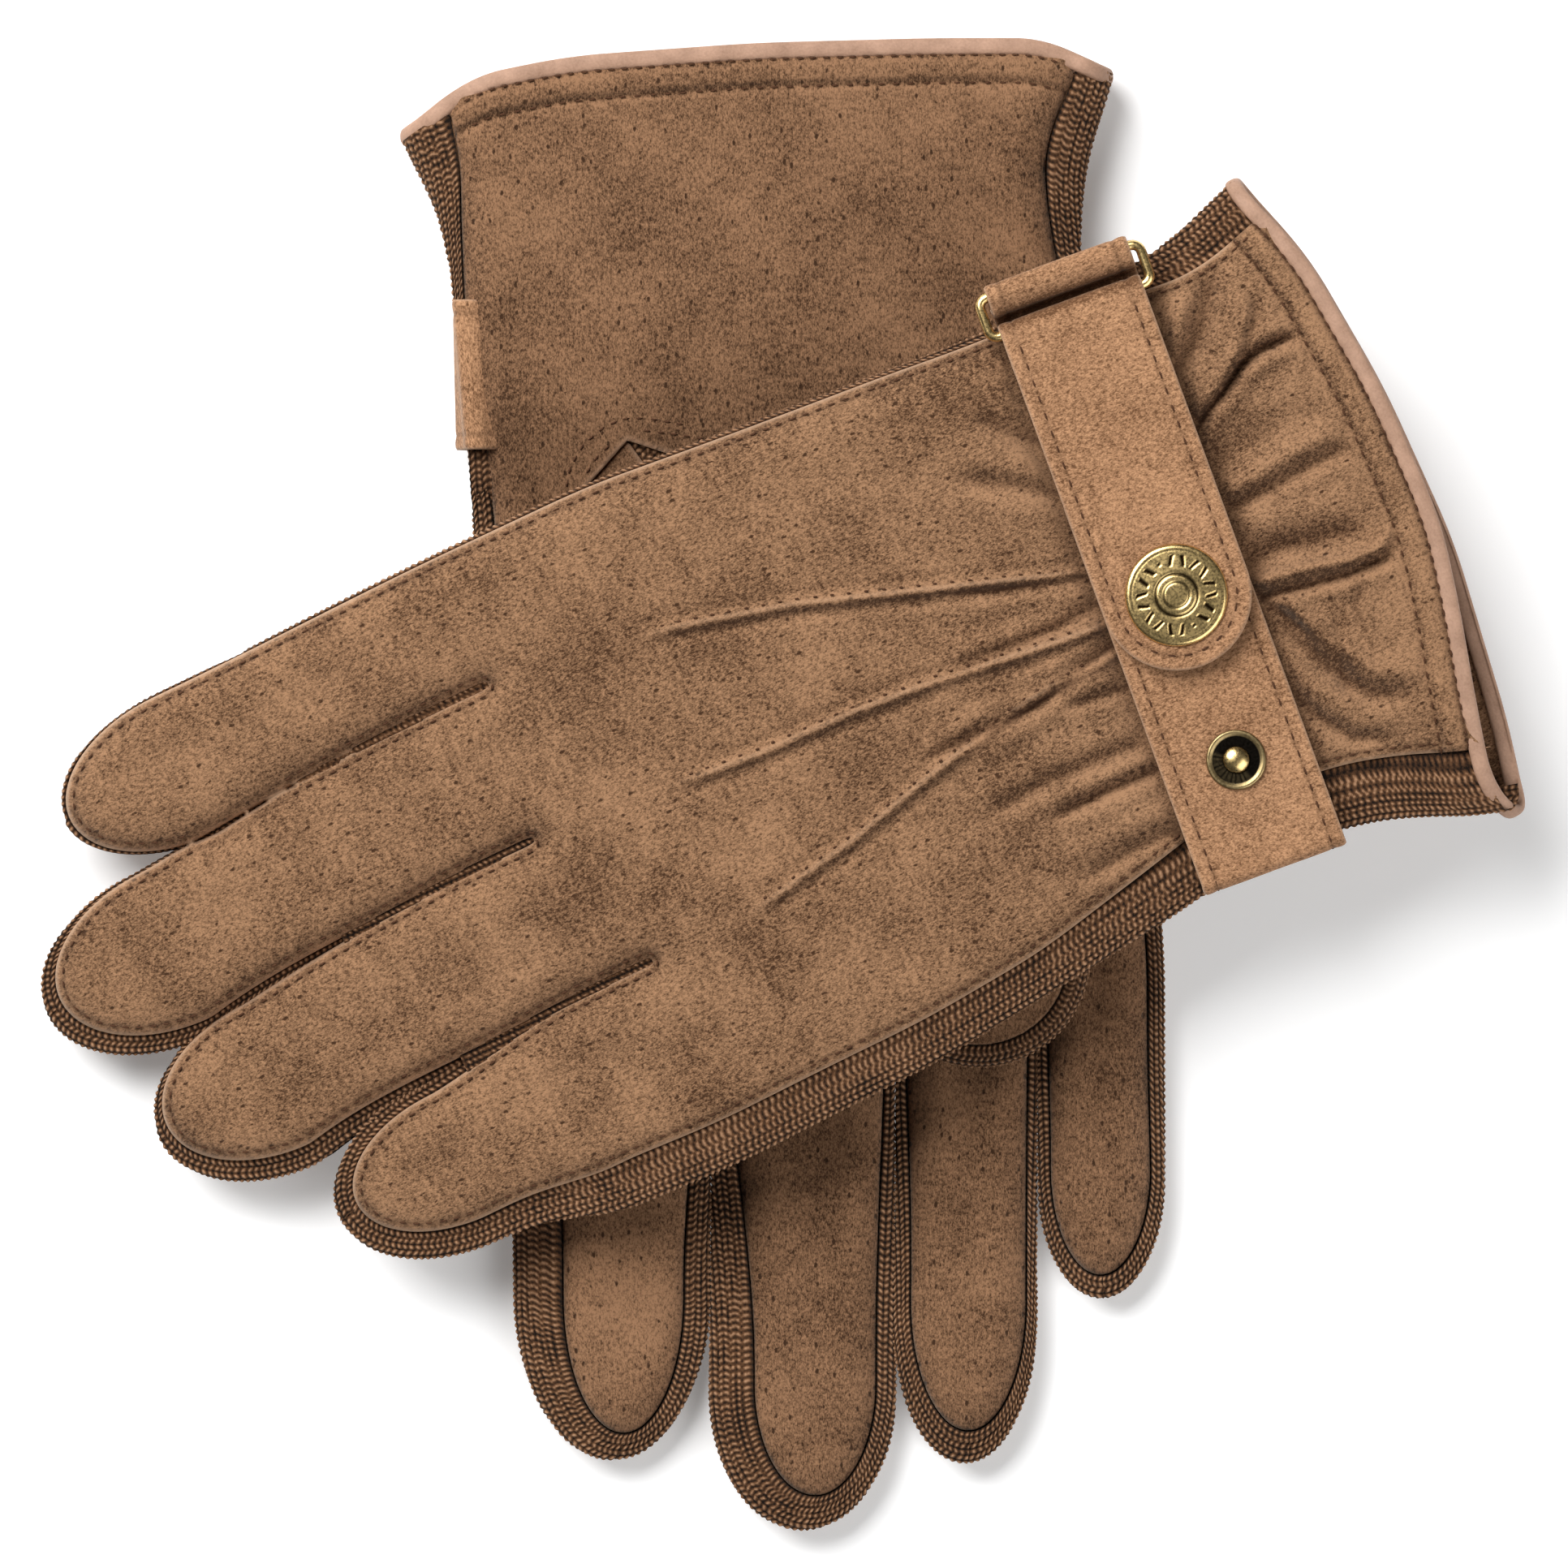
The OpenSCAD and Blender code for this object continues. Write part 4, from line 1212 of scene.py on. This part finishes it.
def make_strap(glove):
    side, strap = glove["name"], glove["strap"]
    bar, end = strap["bar"], strap["end"]
    near_bar = bar - RING_PITCH
    tab = [(NOSE, TAB_TOP), (near_bar, TAB_TOP)] + arc_bend(near_bar, BAR_HIGH, LOOP, 80, -90)
    tab += [(near_bar - 7, BAR_HIGH - LOOP + 0.3)]
    place, length = strip_place(glove, tab)
    flat = near_bar - NOSE
    # The tab's turn round its bar and its end beneath get painted shade.
    cut_suede(side + "_tab", place, strip_loop(length, True), 0.4, strap_shape(True),
              strap_suede, side + "_tab", [side + "_strap_tab"], thick=LEATHER, solid=True,
              tone_and_shade=lambda u, w: TURN_PAINTED_SHADE * smooth_step(flat - 0.2, flat + 1.2, u))

    def lean(u, w):
        return strap["slant"] * (w + STRAP_WIDE / 2) * (1 - smooth_step(8, 15, u))

    along_keeper, keeper_length = strip_place(glove, strap["keeper"], lean)

    def keeper_place(u, w, h):
        return along_keeper(u, w, -h)

    # The keeper's last few millimetres, turned under at the ring, get painted shade.
    cut_suede(side + "_keeper", keeper_place, strip_loop(keeper_length), 0.4, strap_shape(),
              strap_suede, side + "_glove", [side + "_strap_keeper"], thick=LEATHER, solid=True,
              tone_and_shade=lambda u, w: TURN_PAINTED_SHADE * smooth_step(keeper_length - 8.5, keeper_length - 6.5, u))

    base = [(18, BASE_TOP), (end + 1.0, BASE_TOP), (end, 0.6), (end, -7.0)]
    along_base, base_length = strip_place(glove, base)

    def base_place(u, w, h):
        return along_base(np.clip(u - strap["skew"] * w * u / base_length, 0, base_length), w, -h)

    cut_suede(side + "_base", base_place, strip_loop(base_length), 0.4, strap_shape(),
              strap_suede, side + "_glove", [side + "_strap_base"], thick=LEATHER, solid=True)
    strap_lines[side] = (place, flat, base_place, base_length)


make_strap(LEFT)
make_strap(RIGHT)

# ---- Ring and snaps ----
# Antique brass: a bent wire ring, a stamped snap cap riveted to the tab over its socket, and
# two studs on the base strap, a blackened dish with a bright ball each.

WIRE = 0.85
RING_LONG = 30.0
RING_BEND = 1.5
CAP_ROUND = 17.0
STUD_ROUND = 10.0
BALL_ROUND = 4.4
STAMPS = 18
MARKS_DEEP = 1.6        # stamps reach this far below a fitting's top


def make_brass(name, tone, deep, rough_low, rough_high):
    material, tree = new_material(name)
    place = node(tree, "ShaderNodeTexCoord").outputs["Object"]
    scaled = node(tree, "ShaderNodeVectorMath", {0: place, 3: 1000.0}, operation="SCALE").outputs[0]
    patches = noise_value(tree, scaled, 0.5, 4.0)
    fine = noise_value(tree, scaled, 2.6, 3.0)
    worn = node(tree, "ShaderNodeMapRange", {"Value": patches, "From Min": 0.35, "From Max": 0.7})
    colour = mix(tree, worn.outputs[0], tuple(c * 0.62 for c in tone), tone)
    colour = mix(tree, sunk_share(tree, relief_value(tree)), colour, deep)
    gloss = node(tree, "ShaderNodeMapRange", {"Value": fine, "From Min": 0.3, "From Max": 0.7,
                                              "To Min": rough_low, "To Max": rough_high})
    tree.links.new(gloss.outputs[0], tree.nodes["Principled BSDF"].inputs["Roughness"])
    finish_material(tree, colour, (fine, 0.2, 0.00006), {"Metallic": 1.0})
    return material


brass = make_brass("antique brass", (1.0, 0.72, 0.31), (0.026, 0.012, 0.004), 0.22, 0.38)
black_brass = make_brass("blackened brass", (0.42, 0.31, 0.15), (0.010, 0.008, 0.006), 0.3, 0.5)


def spun_metal(name, glove, s, profile, steps, shape=None):
    """Spins a profile of (radius, z) points round the snap's axis. shape(r, angle) gives
    added height and relief."""
    bm = bmesh.new()
    verts = [bm.verts.new((r * MM, 0, z * MM)) for r, z in profile]
    edges = [bm.edges.new(pair) for pair in zip(verts, verts[1:])]
    bmesh.ops.spin(bm, geom=verts + edges, axis=(0, 0, 1), cent=(0, 0, 0), dvec=(0, 0, 0),
                   angle=2 * math.pi, steps=steps, use_merge=True)
    bmesh.ops.remove_doubles(bm, verts=bm.verts, dist=1e-6)
    bmesh.ops.recalc_face_normals(bm, faces=bm.faces)
    mesh = into_mesh(name, bm)
    x, y, z = (vertex_places(mesh) / MM).T
    relief = np.zeros(len(x))
    if shape is not None:
        top = z > max(p[1] for p in profile) - MARKS_DEEP
        added, marks = shape(np.hypot(x, y), np.arctan2(y, x))
        z = z + np.where(top, added, 0)
        relief = np.where(top, marks, 0)
    mesh.vertices.foreach_set("co", lay_strap(glove)(s + x, y, z).reshape(-1))
    write_values(mesh, "relief", relief)
    mesh.update()
    if glove["up"] < 0:
        mesh.flip_normals()
    return show(name, mesh)


def band(value, low, high, soft):
    fades = 1 - smooth_step(high - soft, high + soft, value)
    return smooth_step(low - soft, low + soft, value) * fades


def cap_marks(r, angle):
    """A stamped rim: short bars and dots between two rings, round a plain boss."""
    turn = (angle / (2 * math.pi) * STAMPS) % 1.0
    count = np.floor(angle / (2 * math.pi) * STAMPS) % 9
    lean = turn + 0.16 * (r - 5.8) * np.where(count % 2 == 0, 1, -1)
    bar = band(lean, 0.32, 0.66, 0.08) * band(r, 4.85, 6.75, 0.14) * (count != 0)
    dot = band(turn, 0.36, 0.64, 0.07) * band(r, 5.5, 6.1, 0.14) * (count == 0)
    ring = groove(r, 3.5, 0.28) + 0.8 * groove(r, 2.1, 0.2) + 0.4 * groove(r, 7.5, 0.2)
    marks = np.clip(bar + dot + ring, 0, 1)
    return -0.13 * marks + 0.08 * band(r, 2.3, 3.3, 0.2), -marks


def fine_profile(points, step):
    made = [points[0]]
    for p, q in zip(points[:-1], points[1:]):
        count = max(int(math.dist(p, q) / step), 1)
        made += [(p[0] + (q[0] - p[0]) * k / count, p[1] + (q[1] - p[1]) * k / count)
                 for k in range(1, count + 1)]
    return made


def make_snaps(glove):
    side = glove["name"]
    r = CAP_ROUND / 2
    cap = fine_profile([(0.001, 1.12), (2.0, 1.10), (4.2, 1.04), (7.0, 0.88), (7.7, 0.86)], 0.14)
    cap += [(8.05, 0.78), (8.3, 0.6), (r, 0.36), (r, 0.15), (8.3, 0.02), (1.5, 0.0), (1.5, -1.1),
            (0.001, -1.1)]
    cap = [(a, TAB_TOP + z) for a, z in cap]
    piece = spun_metal(side + "_cap", glove, CAP_AT, cap, 200, cap_marks)
    finish_piece(piece, side + "_tab", [side + "_snap_cap"], brass)

    rim, ball = STUD_ROUND / 2, BALL_ROUND / 2
    dish = fine_profile([(1.2, 0.62), (1.9, 0.42), (3.9, 0.40)], 0.2)
    dish += [(4.15, 0.55), (4.4, 0.68), (4.7, 0.72), (4.93, 0.6), (rim, 0.35), (rim, 0.1),
             (4.8, 0.0), (0.001, 0.0)]
    knob = [(0.001, 1.80), (0.5, 1.77), (1.1, 1.66), (1.6, 1.46), (2.0, 1.15), (ball, 0.95),
            (2.05, 0.72), (1.6, 0.55), (1.5, 0.40), (0.001, 0.36)]

    def dish_marks(r, angle):
        rays = (0.5 + 0.5 * np.cos(angle * 26)) * band(r, 2.3, 3.9, 0.15)
        shade = band(r, -1, 4.05, 0.12)
        # The dish is blackened; its rays on one side are lifted as a painted highlight.
        return 0.06 * rays, -np.clip(shade * (1 - 0.22 * rays * (np.cos(angle - 2.2) > 0.2)), 0, 1)

    halves = (("dish", dish, black_brass, 64, dish_marks), ("ball", knob, brass, 32, None))
    for k in (1, 2):
        for half, profile, metal, steps, marks in halves:
            piece = spun_metal("%s_stud_%d_%s" % (side, k, half), glove, CAP_AT - (k - 1) * STUD_PITCH,
                               [(a, BASE_TOP + z) for a, z in profile], steps, marks)
            stands_for = [side + "_snap_studs"] if (k, half) == (1, "dish") else []
            finish_piece(piece, side + "_glove", stands_for, metal)

    bar, half = glove["strap"]["bar"], RING_LONG / 2 - WIRE
    mid, short, long = bar - RING_PITCH / 2, RING_PITCH / 2 - RING_BEND, half - RING_BEND
    ring = []
    for cs, cw, start in ((short, long, 0), (-short, long, 90), (-short, -long, 180),
                          (short, -long, 270)):
        a = np.radians(np.linspace(start, start + 90, 9))
        ring.append(np.stack([mid + cs + RING_BEND * np.cos(a), cw + RING_BEND * np.sin(a)], 1))
    flat = np.concatenate(ring)
    closed = np.concatenate([flat, flat[:1]])
    dense = Edge(closed, 0.5).points[:-1]
    path = np.column_stack([dense, np.full(len(dense), BAR_HIGH)])
    t = np.roll(path, -1, 0) - np.roll(path, 1, 0)
    t /= np.linalg.norm(t, axis=1)[:, None]
    side_way = np.stack([t[:, 1], -t[:, 0], np.zeros(len(t))], 1)
    up_way = np.tile([0.0, 0.0, 1.0], (len(t), 1))
    a = np.linspace(0, 2 * math.pi, 17)[:-1]
    piece = closed_sweep(side + "_ring", path, side_way, up_way, (WIRE * np.cos(a), WIRE * np.sin(a)),
                            lay_strap(glove))
    finish_piece(piece, side + "_ring", [side + "_strap_ring"], brass)


for glove in (LEFT, RIGHT):
    make_snaps(glove)
for hidden in ("left_snap_socket", "right_snap_socket", "left_snap_rivets", "right_snap_rivets"):
    for held in bpy.data.objects[hidden].material_slots:
        held.material = black_brass

# ---- Stitching ----
# Brown thread in single rows of lockstitch: round every edge of the back, along the raised
# points, down both edges of the straps, and two rows along the cuff.

THREAD = 0.42
STITCH_LONG = 1.35
SHORTEST_RUN = 16       # points of an edge line; a shorter run isn't sewn


def make_thread():
    material, tree = new_material("brown thread")
    place = node(tree, "ShaderNodeTexCoord").outputs["Object"]
    fibre = noise_value(tree, place, 3000.0, 2.0)
    colour = mix(tree, fibre, (0.030, 0.011, 0.005), (0.12, 0.052, 0.024))
    finish_material(tree, colour, None, {"Roughness": 0.85, "Specular IOR Level": 0.2})
    return material


thread = make_thread()


def stitch_row(points, pitch=STITCH_PITCH, long=STITCH_LONG, jitter=0.12, seed=5):
    """Places along a row: centre and direction of each stitch, in the row's own plan."""
    edge = Edge(np.array(points, float), 0.1)
    count = int(edge.length / pitch)
    rng = np.random.default_rng(seed)
    at = (np.arange(count) + 0.5) * (edge.length / max(count, 1)) + rng.uniform(-jitter, jitter, count)
    a, b = at - long / 2, at + long / 2

    def where(run):
        return np.stack([np.interp(run, edge.run, edge.points[:, k]) for k in (0, 1)], 1)

    return where(a), where(b)


def sew(name, body, starts, ends):
    """One piece of thread: a stitch is a small ball stretched from its start to its end."""
    bm = bmesh.new()
    for a, b in zip(starts, ends):
        a, b = Vector(a), Vector(b)
        way = b - a
        turn = way.to_track_quat("X", "Z").to_matrix().to_4x4()
        size = Matrix.Diagonal((way.length / 2, THREAD * MM / 2, THREAD * MM / 2, 1))
        bmesh.ops.create_icosphere(bm, subdivisions=1, radius=1.0,
                                   matrix=Matrix.Translation((a + b) / 2) @ turn @ size)
    finish_piece(show(name, into_mesh(name, bm)), body, [], thread)


def sew_on(name, glove, panel, rows, lift=-0.05, **kinds):
    """Sews rows given in the glove's plan on a panel, at the panel's own height."""
    verts = panel.data.vertices
    finder = KDTree(len(verts))
    for v in verts:
        finder.insert((v.co.x, v.co.y, 0), v.index)
    finder.balance()
    starts, ends = [], []
    for k, row in enumerate(rows):
        a, b = stitch_row(row, seed=5 + k, **kinds)
        for group, points in ((starts, a), (ends, b)):
            world = glove["lay"](points[:, 0], points[:, 1], np.zeros(len(points)))
            for p in world:
                found = finder.find_n((p[0], p[1], 0), 6)
                up = max(verts[i].co.z for _, i, _ in found)
                group.append((p[0], p[1], up + lift * MM))
    sew(name, glove["name"] + "_glove", starts, ends)


def clean_row(edge_line, inset, keep):
    """The part of an inset row that stays inset from every stretch of its edge."""
    row = edge_line.points + inward(edge_line.points) * inset
    _, near = edge_line.nearest(row[:, 0], row[:, 1])
    good = (near > inset * 0.93) & keep(row[:, 0], row[:, 1])
    runs, start = [], None
    for k, ok in enumerate(good):
        if ok and start is None:
            start = k
        if not ok and start is not None:
            runs.append(row[start:k])
            start = None
    if start is not None:
        runs.append(row[start:])
    return [run for run in runs if len(run) > SHORTEST_RUN]


def clear_of_hem(glove, face, gap):
    return lambda x, y: y > hem_height(glove, face, x) + gap


back_rows = clean_row(left_back_edge, STITCH_IN, clear_of_hem(LEFT, "back", 4.0))
sew_on("left_back_seam", LEFT, left_back, back_rows, lift=-0.13)


def hem_row(glove, face, low, high, gap):
    x = np.linspace(low, high, 200)
    return np.stack([x, hem_height(glove, face, x) + gap], 1)


for glove, face, panel, low, high in ((LEFT, "back", left_back, -45, 48),
                                      (RIGHT, "palm", right_palm, -50, 48)):
    side = glove["name"]
    sew_on(side + "_hem_seam", glove, panel, [hem_row(glove, face, low, high, HEM_ROW)], pitch=2.5)
    sew_on(side + "_hem_ditch", glove, panel,
           [hem_row(glove, face, low - 1, high + 1, HEM_DITCH)], lift=0.05, pitch=2.2)
point_rows = []
for points in POINTS:
    row = Edge(np.array(points, float), 1.0).points
    point_rows.append((row + inward(row) * 0.9)[4:-8])
sew_on("left_point_seams", LEFT, left_back, point_rows, pitch=2.8, long=0.8, lift=-0.14)
NOTCH_ROWS = [
    [(31.6, 73.4), (30.9, 69.5), (28.6, 65.6), (25.1, 62.7), (21.6, 61.3), (17.7, 61.4), (11.4, 62.5)],
    [(28.5, 71), (26.4, 67.7), (23.8, 65.4)], [(19.2, 63.3), (13.3, 64), (8, 64.9)]]
sew_on("right_gusset_seam", RIGHT, right_palm, NOTCH_ROWS, pitch=2.1)


def sew_strap(name, body, place, rows, pitch=2.9):
    starts, ends = [], []
    for k, row in enumerate(rows):
        a, b = stitch_row(row, pitch=pitch, long=1.5, seed=11 + k)
        for group, points in ((starts, a), (ends, b)):
            group += place(points[:, 0], points[:, 1], np.full(len(points), -0.12)).tolist()
    sew(name, body, starts, ends)


for glove in (LEFT, RIGHT):
    side = glove["name"]
    tab_place, flat, base_place, base_length = strap_lines[side]
    row = STRAP_WIDE / 2 - STRAP_STITCH_IN
    a = np.radians(np.linspace(90, 270, 60))
    nose = [(STRAP_WIDE / 2 + row * math.cos(t), row * math.sin(t)) for t in a]
    sew_strap(side + "_tab_seam", side + "_tab", tab_place,
              [[(flat - 2, row)] + nose + [(flat - 2, -row)]])
    last = base_length - END_STITCH_IN
    sew_strap(side + "_base_seam", side + "_glove", base_place,
              [[(2, row), (last, row)], [(2, -row), (last, -row)]])

# ---- Floor, light and camera ----
# A white table top, one broad soft lamp high on the upper left and a weaker one opposite.
# The camera looks straight down from far away, so the pair shows almost without depth.

FLOOR = 1.6
VIEW_AT = (0.0026, 0.0019)
VIEW_WIDE = 0.2608
VIEW_HIGH = 3.0
SENSOR = 36

bm = bmesh.new()
bmesh.ops.create_grid(bm, x_segments=2, y_segments=2, size=FLOOR)
floor = show("floor", into_mesh("floor", bm), smooth=False)
white, tree = new_material("table top")
finish_material(tree, None, None, {
    "Base Color": (0.93, 0.93, 0.93, 1), "Roughness": 0.9,
    "Emission Color": (1, 1, 1, 1), "Emission Strength": 0.18})
floor.data.materials.append(white)


def lamp(name, place, size, power):
    light = bpy.data.lights.new(name, "AREA")
    light.energy, light.size = power, size
    obj = bpy.data.objects.new(name, light)
    obj.location = place
    obj.rotation_euler = (-Vector(place)).to_track_quat("-Z", "Y").to_euler()
    bpy.context.scene.collection.objects.link(obj)


lamp("key", (-0.6, 0.7, 1.0), 1.0, 30.0)
lamp("fill", (0.9, -0.7, 0.9), 1.3, 14.0)

world = bpy.data.worlds.new("studio")
bpy.context.scene.world = world
world.use_nodes = True
air = world.node_tree.nodes["Background"]
aim = node(world.node_tree, "ShaderNodeTexCoord").outputs["Generated"]
high = node(world.node_tree, "ShaderNodeSeparateXYZ", {0: aim}).outputs[2]
sky = node(world.node_tree, "ShaderNodeMapRange", {"Value": high, "From Min": 0.0, "From Max": 0.9,
                                                   "To Min": 0.35, "To Max": 1.45})
world.node_tree.links.new(sky.outputs[0], air.inputs["Strength"])

view = bpy.data.cameras.new("camera")
view.sensor_width = SENSOR
view.lens = SENSOR * VIEW_HIGH / VIEW_WIDE
camera = bpy.data.objects.new("camera", view)
camera.location = (*VIEW_AT, VIEW_HIGH + 0.02)
bpy.context.scene.collection.objects.link(camera)
bpy.context.scene.camera = camera

bpy.context.scene.view_settings.view_transform = "Standard"
